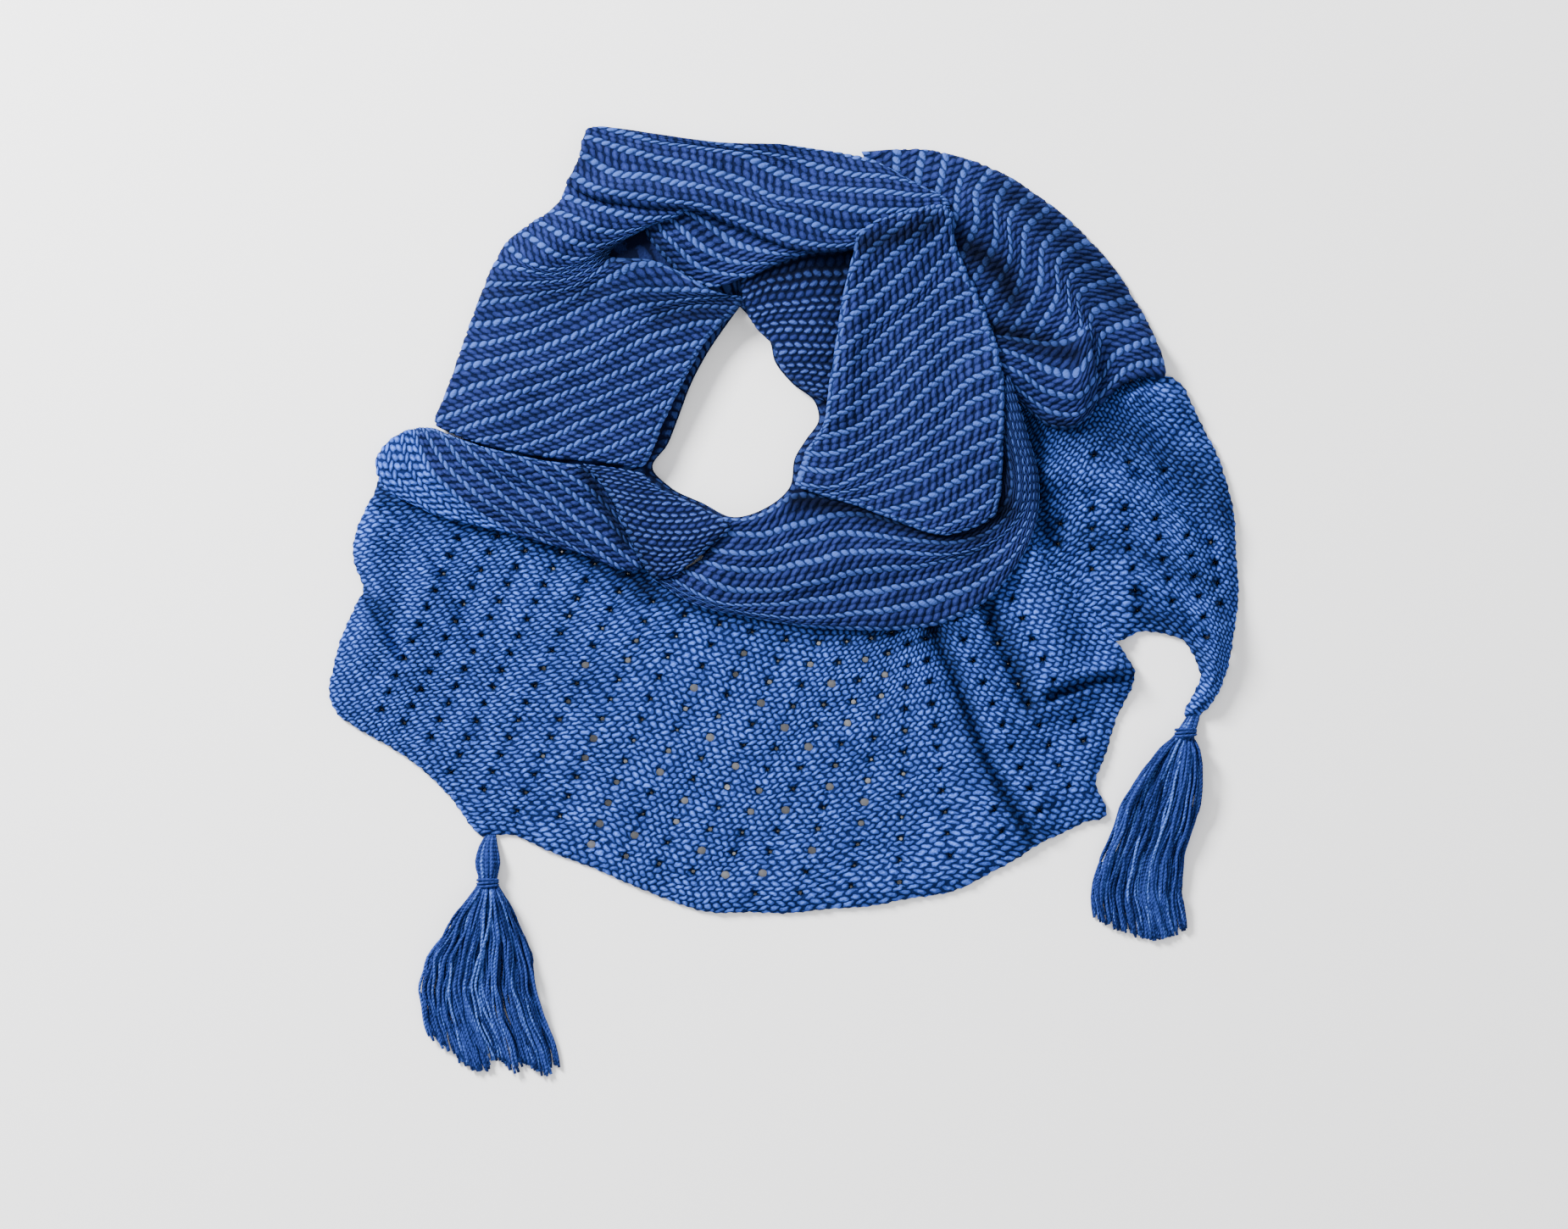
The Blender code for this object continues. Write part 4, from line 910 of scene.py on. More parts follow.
def lattice(columns, i, j):
    table = np.asarray(columns, float)
    known = np.arange(len(table))
    inner = np.clip(i, 0, len(table) - 1)
    values = curveThrough(known, table, inner)
    before = (i < 0)[:, None] * (table[1] - table[0]) * i[:, None]
    after = (i > len(table) - 1)[:, None] * (table[-1] - table[-2]) * (i - (len(table) - 1))[:, None]
    values = values + before + after
    return values[:, :2] + j[:, None] * values[:, 2:]


def eyeletPlaces(outline, columns, rows, extra, free):
    places = []
    for x, y, stepX, stepY in columns:
        for row in range(*rows):
            places.append((x + row * stepX, y + row * stepY))
    places = np.array(places + list(extra), float)
    closed = np.vstack([outline, outline[:1]])
    keep = insideOutline(places, outline) & (lineDistance(places, closed) > lace["hem"])
    for line in free:
        keep &= lineDistance(places, line) > lace["freeGap"]
    return places[keep]


def knobbly(outline):
    # A smooth edge with the small bumps that its rows of knitting give it.
    loop = np.asarray(outline, float)
    closed = np.vstack([loop, loop[:1]])
    length = np.linalg.norm(np.diff(closed, axis=0), axis=1).sum()
    count = int(length / lace["edgeStep"]) // 2 * 2
    smooth = resampleLoop(loop, count)
    ahead = np.roll(smooth, -1, axis=0) - np.roll(smooth, 1, axis=0)
    normal = np.column_stack([-ahead[:, 1], ahead[:, 0]])
    normal /= np.maximum(np.linalg.norm(normal, axis=1), 1e-9)[:, None]
    turn = np.arange(count)
    bump = np.where(turn % 2 == 0, 1.0, -1.0) * (0.8 + 0.4 * np.sin(turn * 1.7)) + 0.9 * np.sin(turn * 0.37)
    return smooth + normal * (bump * lace["edgeBump"])[:, None]


def openness(places):
    # How far each eyelet opens at the back: the slack middle shows the floor, the bunched ends hardly do.
    middle = smoothstep(places[:, 0], 610, 700) * (1 - smoothstep(places[:, 0], 1010, 1090))
    middle *= smoothstep(places[:, 1], 740, 790)
    chance = 0.5 + 0.5 * np.sin(places[:, 0] * 12.9 + places[:, 1] * 7.3)
    return 0.22 + 0.12 * chance + middle * (0.06 + 0.60 * chance**2)


def latticeLace(name, outline, seam, columns, iRange, jRange, steps, places, seed):
    smooth = knobbly(outline)
    closed = np.vstack([smooth, smooth[:1]])
    perI, perJ = steps
    nI, nJ = int((iRange[1] - iRange[0]) * perI), int((jRange[1] - jRange[0]) * perJ)
    ii, jj = np.meshgrid(np.linspace(*iRange, nI + 1), np.linspace(*jRange, nJ + 1))
    points = lattice(columns, ii.ravel(), jj.ravel())
    # Knitting drifts, so the columns are never quite straight.
    drift, sag = handWobble(points * 0.35, seed + 3)
    points = points + np.column_stack([drift, sag]) * lace["drift"]
    index = np.arange(len(points)).reshape(nJ + 1, nI + 1)
    quads = np.stack(
        [index[:-1, :-1], index[:-1, 1:], index[1:, 1:], index[1:, :-1]], axis=-1,
    ).reshape(-1, 4)
    centre = points[quads].mean(axis=1)
    within = insideOutline(centre, smooth)
    radius = np.array([lace["eyeletWide"], lace["eyeletTall"]]) / 2
    holed = np.zeros(len(quads), bool)
    nearest = np.full(len(points), -1)
    nearness = np.full(len(points), 1e9)
    for number, place in enumerate(places):
        close = np.abs(centre - place).max(axis=1) < lace["eyeletReach"]
        holed[close] |= np.linalg.norm((centre[close] - place) / radius, axis=1) < 1.0
        reach = np.nonzero(np.abs(points - place).max(axis=1) < lace["eyeletReach"])[0]
        away = np.linalg.norm((points[reach] - place) / radius, axis=1)
        closer = reach[away < nearness[reach]]
        nearest[closer] = number
        nearness[closer] = away[away < nearness[reach]]
    keep = dropThinQuads(within & ~holed, nI, nJ)
    used = np.zeros(len(points), int)
    np.add.at(used, quads[keep].ravel(), 1)
    lost = np.zeros(len(points), bool)
    lost[quads[holed & within].ravel()] = True
    rimHole = lost & (used > 0) & (nearest >= 0)
    where = places[nearest[rimHole]]
    offset = points[rimHole] - where
    ring = offset / np.linalg.norm(offset / radius, axis=1)[:, None]
    points[rimHole] = where + ring
    lowerPoints = points.copy()
    lowerPoints[rimHole] = where + ring * openness(where)[:, None]
    outside = np.zeros(len(points), bool)
    outside[quads[~within].ravel()] = True
    rimOuter = outside & (used > 0) & ~rimHole
    points[rimOuter] = snapTo(points[rimOuter], closed)
    lowerPoints[rimOuter] = points[rimOuter]
    seamless = smooth[lineDistance(smooth, seam) > lace["seamGap"]]
    jump = np.linalg.norm(seamless - np.roll(seamless, 1, axis=0), axis=1)
    start = int(np.argmax(jump))
    gap = lineDistance(points, np.roll(seamless, -start, axis=0)) * plan["square"]
    holeGap = np.clip(nearness - 1.0, 0, 3) * radius[0] * plan["square"]
    rise = creased("lace", points, foldHeight("lace", points) + softSwell(points))
    bottom = rise * (1 - 0.72 * (1 - smoothstep(gap, 0.0, 0.011)))
    sideways, upward = handWobble(points, seed)
    u = ii.ravel() * lace["stitchesPerColumn"] + 0.22 * sideways
    v = jj.ravel() * lace["ridgesPerRow"] + 0.16 * upward
    calm = smoothstep(gap, -0.001, 0.002)
    near = smoothstep(holeGap, 0.0, 0.0016)
    proud = 0.0004 * np.exp(-(((holeGap - 0.0016) / 0.0010) ** 2))
    top = bottom + roundedEdge(gap, knit["laceWall"]) * (0.62 + 0.38 * near) + proud
    top += knit["relief"] * (stitchRelief(u, v, "lace") - 0.45) * calm * (0.35 + 0.65 * near)
    # Painted shade in the hollows and round each eyelet, halving the colour at the eyelet's rim.
    shade = hollowShade("lace", points) * (0.50 + 0.50 * near)
    return doubledPiece(name, points, lowerPoints, bottom, top, u, v, shade, gap, quads[keep])


def softSwell(points):
    # Slow swells of cloth that lies over more cloth or has not been smoothed out.
    x, y = points[:, 0], points[:, 1]
    ends = (1 - smoothstep(x, 520, 660)) + 0.8 * smoothstep(x, 1080, 1180)
    ripple = np.sin(x * 0.052 + y * 0.021 + 0.6) * np.sin(y * 0.043 - x * 0.013 + 1.1)
    fine = np.sin(x * 0.117 - y * 0.071 + 2.0) * np.sin(y * 0.101 + x * 0.033)
    return lace["swell"] * ends + lace["ripple"] * (0.5 + 0.5 * ripple) + lace["pucker"] * (0.5 + 0.5 * fine)


def dropThinQuads(keep, nI, nJ):
    grid = keep.reshape(nJ, nI).copy()
    for _ in range(4):
        padded = np.pad(grid, 1)
        sides = padded[:-2, 1:-1].astype(int) + padded[2:, 1:-1] + padded[1:-1, :-2] + padded[1:-1, 2:]
        grid &= sides >= 2
    # Two kept cells that meet only at a corner get one of the others back.
    for _ in range(3):
        one = grid[:-1, :-1] & grid[1:, 1:] & ~grid[:-1, 1:] & ~grid[1:, :-1]
        other = ~grid[:-1, :-1] & ~grid[1:, 1:] & grid[:-1, 1:] & grid[1:, :-1]
        grid[:-1, 1:] |= one
        grid[:-1, :-1] |= other
    return grid.ravel()


def snapTo(points, line):
    best = np.full(len(points), 1e9)
    place = points.copy()
    for a, b in zip(line[:-1], line[1:]):
        along = b - a
        t = np.clip(((points - a) @ along) / (along @ along), 0, 1)
        near = a + t[:, None] * along
        away = np.linalg.norm(points - near, axis=1)
        closer = away < best
        best[closer] = away[closer]
        place[closer] = near[closer]
    return place


def doubledPiece(name, points, lowerPoints, bottom, top, u, v, shade, edging, quads):
    used = np.unique(quads)
    renumber = np.full(len(points), -1)
    renumber[used] = np.arange(len(used))
    quads = renumber[quads]
    floor = onFloor(points[used])
    count = len(used)
    a, b, d = floor[quads[:, 0]], floor[quads[:, 1]], floor[quads[:, 3]]
    turning = ((b - a)[:, 0] * (d - a)[:, 1] - (b - a)[:, 1] * (d - a)[:, 0]).sum()
    if turning < 0:
        quads = quads[:, ::-1]
    upper = np.column_stack([floor, top[used]])
    lower = np.column_stack([onFloor(lowerPoints[used]), np.maximum(bottom[used], 0.0)])
    faces = quads.tolist() + (quads[:, ::-1] + count).tolist()
    starts = quads.ravel()
    ends = np.roll(quads, -1, axis=1).ravel()
    code = starts.astype(np.int64) * count + ends
    back = ends.astype(np.int64) * count + starts
    rim = ~np.isin(code, back)
    faces += [(int(e), int(s), int(s + count), int(e + count)) for s, e in zip(starts[rim], ends[rim])]
    # Painted shade on the lower layer, which shows as the walls of the eyelets and rim: 0.4 of the shade
    # above, 0.75 close to an outer edge.
    low = np.where(edging[used] < 0.004, 0.75, 0.4)
    return makeMesh(
        name,
        np.vstack([upper, lower]),
        faces,
        np.column_stack([np.tile(u[used], 2), np.tile(v[used], 2)]),
        np.concatenate([shade[used], shade[used] * low]),
        np.tile(edging[used], 2),
    )


# Shader maths


class Wire:
    def __init__(self, tree, socket):
        self.tree = tree
        self.socket = socket

    def math(self, operation, *others):
        values = [self, *others]
        made = self.tree.nodes.new("ShaderNodeMath")
        made.operation = operation
        for slot, value in enumerate(values):
            if isinstance(value, Wire):
                self.tree.links.new(value.socket, made.inputs[slot])
            else:
                made.inputs[slot].default_value = value
        return Wire(self.tree, made.outputs[0])

    def __add__(self, other):
        return self.math("ADD", other)

    def __radd__(self, other):
        return self.math("ADD", other)

    def __sub__(self, other):
        return self.math("SUBTRACT", other)

    def __rsub__(self, other):
        return (self * -1).math("ADD", other)

    def __mul__(self, other):
        return self.math("MULTIPLY", other)

    def __rmul__(self, other):
        return self.math("MULTIPLY", other)

    def __pow__(self, other):
        return self.math("POWER", other)

    def __mod__(self, other):
        return self.math("FLOORED_MODULO", other)

    def __abs__(self):
        return self.math("ABSOLUTE")

    def cos(self):
        return self.math("COSINE")

    def sin(self):
        return self.math("SINE")

    def between(self, low, high):
        made = self.tree.nodes.new("ShaderNodeMapRange")
        made.interpolation_type = "SMOOTHSTEP"
        made.inputs["From Min"].default_value = low
        made.inputs["From Max"].default_value = high
        self.tree.links.new(self.socket, made.inputs["Value"])
        return Wire(self.tree, made.outputs["Result"])


class Finish:
    def __init__(self, name):
        self.material = bpy.data.materials.new(name)
        self.material.use_nodes = True
        self.tree = self.material.node_tree
        self.surface = self.tree.nodes["Principled BSDF"]
        self.surface.inputs["Metallic"].default_value = 0.0

    def node(self, kind, settings=None, inputs=None, output=0):
        made = self.tree.nodes.new(kind)
        for label, value in (settings or {}).items():
            setattr(made, label, value)
        for label, value in (inputs or {}).items():
            if isinstance(value, Wire):
                self.tree.links.new(value.socket, made.inputs[label])
            else:
                made.inputs[label].default_value = value
        return Wire(self.tree, made.outputs[output])

    def blend(self, factor, first, second):
        made = self.tree.nodes.new("ShaderNodeMix")
        made.data_type = "RGBA"
        for label, value in ((0, factor), (6, first), (7, second)):
            if isinstance(value, Wire):
                self.tree.links.new(value.socket, made.inputs[label])
            elif label == 0:
                made.inputs[label].default_value = value
            else:
                made.inputs[label].default_value = (*value, 1.0)
        return Wire(self.tree, made.outputs[2])

    def darken(self, colour, amount):
        # Multiplies a colour by a grey worked out from one number.
        grey = self.node("ShaderNodeCombineColor", {}, {"Red": amount, "Green": amount, "Blue": amount})
        made = self.tree.nodes.new("ShaderNodeMix")
        made.data_type = "RGBA"
        made.blend_type = "MULTIPLY"
        made.inputs[0].default_value = 1.0
        self.tree.links.new(colour.socket, made.inputs[6])
        self.tree.links.new(grey.socket, made.inputs[7])
        return Wire(self.tree, made.outputs[2])

    def feed(self, wire, label):
        self.tree.links.new(wire.socket, self.surface.inputs[label])


# The Gap colours are painted shade for the hollows between stitches; the Lit colours are painted highlights
# on the stitch crowns.
yarn = {
    "navy": (0.0104, 0.0158, 0.080),
    "navyGapShade": (0.0024, 0.0042, 0.022),
    "navyLit": (0.0190, 0.0300, 0.138),
    "light": (0.0400, 0.0780, 0.290),
    "lightGapShade": (0.0074, 0.0146, 0.066),
    "lace": (0.0260, 0.0600, 0.285),
    "laceLit": (0.0640, 0.1500, 0.640),
    "laceGapShade": (0.0036, 0.0085, 0.050),
    "insideDash": (0.0360, 0.0660, 0.255),
    "roughness": 0.92,
    "sheen": 0.05,
    "sheenTint": (0.10, 0.28, 1.0),
    "gloss": 0.04,
    "sheenRoughness": 0.6,
    "chainShare": 0.85,
    "bump": 0.0009,
}


def stitchNodes(finish, place, look):
    # The same dashes as the mesh has, with their edges loosened by a little noise.
    uv = finish.node("ShaderNodeUVMap", {"uv_map": "stitches"})
    split = finish.tree.nodes.new("ShaderNodeSeparateXYZ")
    finish.tree.links.new(uv.socket, split.inputs[0])
    stray = finish.node("ShaderNodeTexNoise", {}, {"Vector": place, "Scale": 260.0, "Detail": 1.0})
    u = Wire(finish.tree, split.outputs[0]) + (stray - 0.5) * look["stray"]
    v = Wire(finish.tree, split.outputs[1]) + (stray - 0.5) * look["stray"] * 0.5
    rows = v * look["rowsPerRidge"]
    row = (rows + 0.5).math("FLOOR")
    shifted = u + row * 0.5
    along = shifted % 1.0 - 0.5
    turn = row % look["period"]
    first = turn.math("MINIMUM", 1.0)
    lean = (1 - first * 2) * look["lean"]
    across = (rows - row - along * lean) * (1 / look["halfAcross"])
    body = (1 - across * across - along * along * (1 / look["halfAlong"] ** 2)).math("MAXIMUM", 0.0) ** 0.5
    stitch = finish.node("ShaderNodeCombineXYZ", {}, {"X": shifted.math("FLOOR"), "Y": row})
    luck = finish.node("ShaderNodeTexWhiteNoise", {"noise_dimensions": "2D"}, {"Vector": stitch})
    return {
        "v": v, "along": along, "across": across, "turn": turn, "first": first, "body": body, "luck": luck,
    }


def knitFinish(name, kind):
    finish = Finish(name)
    look = dashes["striped" if kind == "corner" else kind]
    coords = finish.tree.nodes.new("ShaderNodeTexCoord")
    place = Wire(finish.tree, coords.outputs["Object"])
    stitch = stitchNodes(finish, place, look)
    body, across, along, first = stitch["body"], stitch["across"], stitch["along"], stitch["first"]
    mottle = finish.node(
        "ShaderNodeTexNoise", {}, {"Vector": place, "Scale": 620.0, "Detail": 2.0, "Roughness": 0.6},
    )
    patch = finish.node(
        "ShaderNodeTexNoise", {}, {"Vector": place, "Scale": 75.0, "Detail": 3.0, "Roughness": 0.6},
    )
    shade = finish.node("ShaderNodeAttribute", {"attribute_name": "shade"}, output=2)
    edging = finish.node("ShaderNodeAttribute", {"attribute_name": "edging"}, output=2)
    fleck = (mottle - 0.5) * 1.3 + (patch - 0.5) * 0.9 + (stitch["luck"] - 0.5) * 0.35
    # Painted shade and highlight from the stitch relief: the low parts of each dash take the gap shade
    # colours and the crowns the lit colours. The flecks add random tone on top.
    tone = body + fleck * 0.7
    gapShadeMask = tone.between(0.16, 0.66)
    litMask = tone.between(0.70, 1.15)
    lace = finish.blend(gapShadeMask, yarn["laceGapShade"], yarn["lace"])
    lace = finish.blend(litMask, lace, yarn["laceLit"])
    dark = finish.blend(gapShadeMask, yarn["navyGapShade"], yarn["navy"])
    dark = finish.blend(litMask, dark, yarn["navyLit"])
    if kind == "lace":
        colour = lace
    elif kind == "inside":
        thin = (tone - abs(across) * 0.6).between(0.40, 0.70)
        lit = stitch["turn"].between(1.6, 1.4) * thin
        colour = finish.blend(lit, dark, yarn["insideDash"])
        chain = edging.between(0.0048, 0.0036) * gapShadeMask
        colour = finish.blend(chain * yarn["chainShare"], colour, yarn["light"])
    else:
        pale = finish.blend(gapShadeMask, yarn["lightGapShade"], yarn["light"])
        chain = edging.between(0.0050, 0.0038)
        colour = finish.blend((1 - first).math("MAXIMUM", chain * yarn["chainShare"]), dark, pale)
        if kind == "corner":
            colour = finish.blend(stitch["v"].between(13.6, 14.4), colour, lace)
    colour = finish.darken(colour, shade)
    finish.feed(colour, "Base Color")
    finish.surface.inputs["Roughness"].default_value = yarn["roughness"]
    finish.surface.inputs["Sheen Weight"].default_value = yarn["sheen"]
    finish.surface.inputs["Sheen Roughness"].default_value = yarn["sheenRoughness"]
    finish.surface.inputs["Sheen Tint"].default_value = (*yarn["sheenTint"], 1.0)
    finish.surface.inputs["Specular IOR Level"].default_value = yarn["gloss"]
    ply = ((along * 3 + across * 1.2) * (2 * math.pi)).sin()
    height = body + ply * body * 0.07 + (mottle - 0.5) * 0.45
    lifted = finish.node(
        "ShaderNodeBump", {}, {"Height": height, "Strength": 0.9, "Distance": yarn["bump"]},
    )
    finish.feed(lifted, "Normal")
    return finish.material


tassels = {
    "left": {
        "root": [(580, 984), (577, 996), (576, 1018), (576, 1041)],
        "rootHalf": [4, 10, 15, 11],
        "rootHeight": [0.0035, 0.0075, 0.0105, 0.0085],
        "skirt": [
            (1041, 565, 587), (1056, 553, 597), (1080, 533, 611), (1105, 520, 622), (1130, 503, 629),
            (1165, 494, 632), (1200, 497, 643), (1235, 508, 657), (1272, 520, 663),
        ],
        "ends": [1224, 1240, 1262, 1266, 1250, 1270, 1256, 1272, 1258],
        "tie": (1041, 576, 12.0, 0.0092),
    },
    "right": {
        "root": [(1410, 840), (1404, 852), (1400, 860), (1396, 868)],
        "rootHalf": [5, 9, 10.5, 12],
        "rootHeight": [0.0035, 0.0070, 0.0085, 0.0090],
        "skirt": [
            (868, 1384, 1409), (880, 1367, 1415), (905, 1346, 1419), (930, 1331, 1419), (950, 1321, 1415),
            (980, 1312, 1405), (1010, 1298, 1396), (1050, 1285, 1394), (1085, 1290, 1399),
            (1112, 1298, 1401),
        ],
        "ends": [1084, 1094, 1100, 1104, 1108, 1110, 1107, 1106, 1098],
        "tie": (864, 1398, 12.0, 0.0090),
    },
    "yarns": 170,
    "yarnRadius": 0.00088,
    "sides": 6,
    "steps": 34,
    "dark": (0.0050, 0.0098, 0.054),
    "middle": (0.0180, 0.0370, 0.180),
    "light": (0.0620, 0.1340, 0.470),
}


def yarnTube(path, radii, sides):
    path = np.asarray(path, float)
    ahead = np.gradient(path, axis=0)
    ahead /= np.linalg.norm(ahead, axis=1)[:, None]
    across = np.cross(ahead, (0.0, 0.0, 1.0))
    across /= np.maximum(np.linalg.norm(across, axis=1), 1e-9)[:, None]
    over = np.cross(across, ahead)
    angles = np.arange(sides) * 2 * np.pi / sides
    ring = across[:, None, :] * np.cos(angles)[None, :, None]
    ring = ring + over[:, None, :] * np.sin(angles)[None, :, None]
    vertices = path[:, None, :] + ring * np.asarray(radii)[:, None, None]
    rows = len(path)
    index = np.arange(rows * sides).reshape(rows, sides)
    after = np.roll(index, -1, axis=1)
    faces = np.stack([index[:-1], index[1:], after[1:], after[:-1]], axis=-1).reshape(-1, 4).tolist()
    faces.append([int(i) for i in index[0]])
    faces.append([int(i) for i in index[-1][::-1]])
    run = np.concatenate([[0], np.cumsum(np.linalg.norm(np.diff(path, axis=0), axis=1))])
    return vertices.reshape(-1, 3), faces, np.repeat(run, sides), np.tile(angles / (2 * np.pi), rows)


def makeTassel(name, look, seed):
    random = np.random.default_rng(seed)
    root = np.array(look["root"], float)
    skirt = np.array(look["skirt"], float)
    vertices, faces, along, tone = [], [], [], []
    start = 0
    tieY = look["root"][-1][1]
    for _ in range(tassels["yarns"]):
        angle = random.uniform(0, 2 * math.pi)
        out = math.sqrt(random.uniform(0.05, 1.0))
        a, b = out * math.cos(angle), out * math.sin(angle)
        path = []
        for (x, y), half, height in zip(root, look["rootHalf"], look["rootHeight"]):
            path.append((x + a * half * 0.9, y, 0.0011 + (b + 1) * (height - 0.0022) / 2))
        column = np.clip((a + 1) / 2 + random.normal(0, 0.10), 0.01, 0.99)
        end = np.interp(
            column, np.linspace(0, 1, len(look["ends"])), look["ends"],
        ) - abs(random.normal(0, 9))
        layer = random.uniform(0, 1)
        lean, phase = random.normal(0, 2.2), random.uniform(0, 6.28)
        wild = random.uniform(1.0, 3.2)
        for step in range(1, 17):
            t = step / 16
            y = tieY + (end - tieY) * t
            left, right = np.interp(y, skirt[:, 0], skirt[:, 1]), np.interp(y, skirt[:, 0], skirt[:, 2])
            x = left + 2 + (right - left - 4) * (column * min(
                1, t * 2.4,
            ) + (a + 1) / 2 * max(0, 1 - t * 2.4))
            x += wild * math.sin(phase + 7.5 * t) * min(1, t * 2) + lean * t * 0.6
            x += 1.1 * math.sin(phase * 3 + 23 * t) * min(1, t * 3)
            x = min(max(x, left + 1), right - 1)
            puff = 0.0085 * math.sin(math.pi * min(1, 0.35 + 0.65 * t)) + 0.0028
            z = 0.0011 + layer * puff * (1 - 0.35 * t) + 0.0008 * math.sin(phase + 9 * t)
            path.append((x, y, max(z, 0.00115)))
        path = np.array(path)
        run = chordPlaces(path)
        smooth = curveThrough(run, path, np.linspace(0, 1, tassels["steps"]))
        world = np.column_stack([onFloor(smooth[:, :2]), np.maximum(smooth[:, 2], 0.00112)])
        radius = tassels["yarnRadius"] * random.uniform(0.85, 1.15)
        radii = radius * (1 + 0.10 * np.sin(np.linspace(0, 60, tassels["steps"]) + phase))
        points, made, lengths, rounds = yarnTube(world, radii, tassels["sides"])
        vertices.append(points)
        faces += [tuple(int(i) + start for i in face) for face in made]
        start += len(points)
        along.append(np.column_stack([lengths / 0.004, rounds]))
        tone.append(np.full(len(points), random.uniform(0, 1)))
    # The tie: a few turns of yarn wound round the head.
    y, x, half, height = look["tie"]
    for turn in range(3):
        angles = np.linspace(0, 2 * math.pi, 28)
        centre = onFloor(np.array([(x, y + (turn - 1) * 3.2)]))[0]
        path = np.column_stack([
            centre[0] + np.cos(angles) * half * plan["square"],
            np.full(28, centre[1]) + 0.0006 * np.sin(angles + turn),
            0.0012 + (np.sin(angles) + 1) / 2 * height,
        ])
        points, made, lengths, rounds = loopTube(path, 0.0009, 6)
        vertices.append(points)
        faces += [tuple(int(i) + start for i in face) for face in made]
        start += len(points)
        along.append(np.column_stack([lengths / 0.004, rounds]))
        tone.append(np.full(len(points), 0.45))
    return makeMesh(name, np.vstack(vertices), faces, np.vstack(along), np.concatenate(tone))


def loopTube(path, radius, sides):
    path = np.asarray(path[:-1], float)
    ahead = np.roll(path, -1, axis=0) - np.roll(path, 1, axis=0)
    ahead /= np.linalg.norm(ahead, axis=1)[:, None]
    outward = path - path.mean(axis=0)
    outward -= ahead * (outward * ahead).sum(axis=1)[:, None]
    outward /= np.linalg.norm(outward, axis=1)[:, None]
    side = np.cross(ahead, outward)
    angles = np.arange(sides) * 2 * np.pi / sides
    ring = outward[:, None, :] * np.cos(angles)[None, :, None]
    ring = ring + side[:, None, :] * np.sin(angles)[None, :, None]
    vertices = path[:, None, :] + ring * radius
    rows = len(path)
    index = np.arange(rows * sides).reshape(rows, sides)
    below = np.roll(index, -1, axis=0)
    faces = np.stack(
        [index, np.roll(index, -1, axis=1), np.roll(below, -1, axis=1), below], axis=-1,
    ).reshape(-1, 4)
    run = np.arange(rows) * 0.0012
    return vertices.reshape(-1, 3), faces.tolist(), np.repeat(
        run, sides,
    ), np.tile(angles / (2 * np.pi), rows)


def yarnFinish(name):
    finish = Finish(name)
    uv = finish.node("ShaderNodeUVMap", {"uv_map": "stitches"})
    split = finish.tree.nodes.new("ShaderNodeSeparateXYZ")
    finish.tree.links.new(uv.socket, split.inputs[0])
    u, v = Wire(finish.tree, split.outputs[0]), Wire(finish.tree, split.outputs[1])
    coords = finish.tree.nodes.new("ShaderNodeTexCoord")
    place = Wire(finish.tree, coords.outputs["Object"])
    tone = finish.node("ShaderNodeAttribute", {"attribute_name": "shade"}, output=2)
    mottle = finish.node("ShaderNodeTexNoise", {}, {"Vector": place, "Scale": 500.0, "Detail": 2.0})
    twist = ((u * 1.6 + v * 2) * (2 * math.pi)).sin() * 0.5 + 0.5
    mask = tone * 0.75 + (mottle - 0.5) * 0.9 + twist * 0.18
    colour = finish.blend(mask.between(0.10, 0.55), tassels["dark"], tassels["middle"])
    colour = finish.blend(mask.between(0.66, 0.92), colour, tassels["light"])
    finish.feed(colour, "Base Color")
    finish.surface.inputs["Roughness"].default_value = 0.9
    finish.surface.inputs["Sheen Weight"].default_value = yarn["sheen"]
    finish.surface.inputs["Sheen Tint"].default_value = (*yarn["sheenTint"], 1.0)
    finish.surface.inputs["Specular IOR Level"].default_value = yarn["gloss"]
    lifted = finish.node("ShaderNodeBump", {}, {"Height": twist, "Strength": 0.7, "Distance": 0.0005})
    finish.feed(lifted, "Normal")
    return finish.material


hiddenLook = {"stations": 300, "layers": 3, "seed": 5.0}


def resampleLoop(loop, count):
    closed = np.vstack([loop, loop[:1]]).astype(float)
    return curveThrough(chordPlaces(closed), closed, np.linspace(0, 1, count + 1))[:-1]


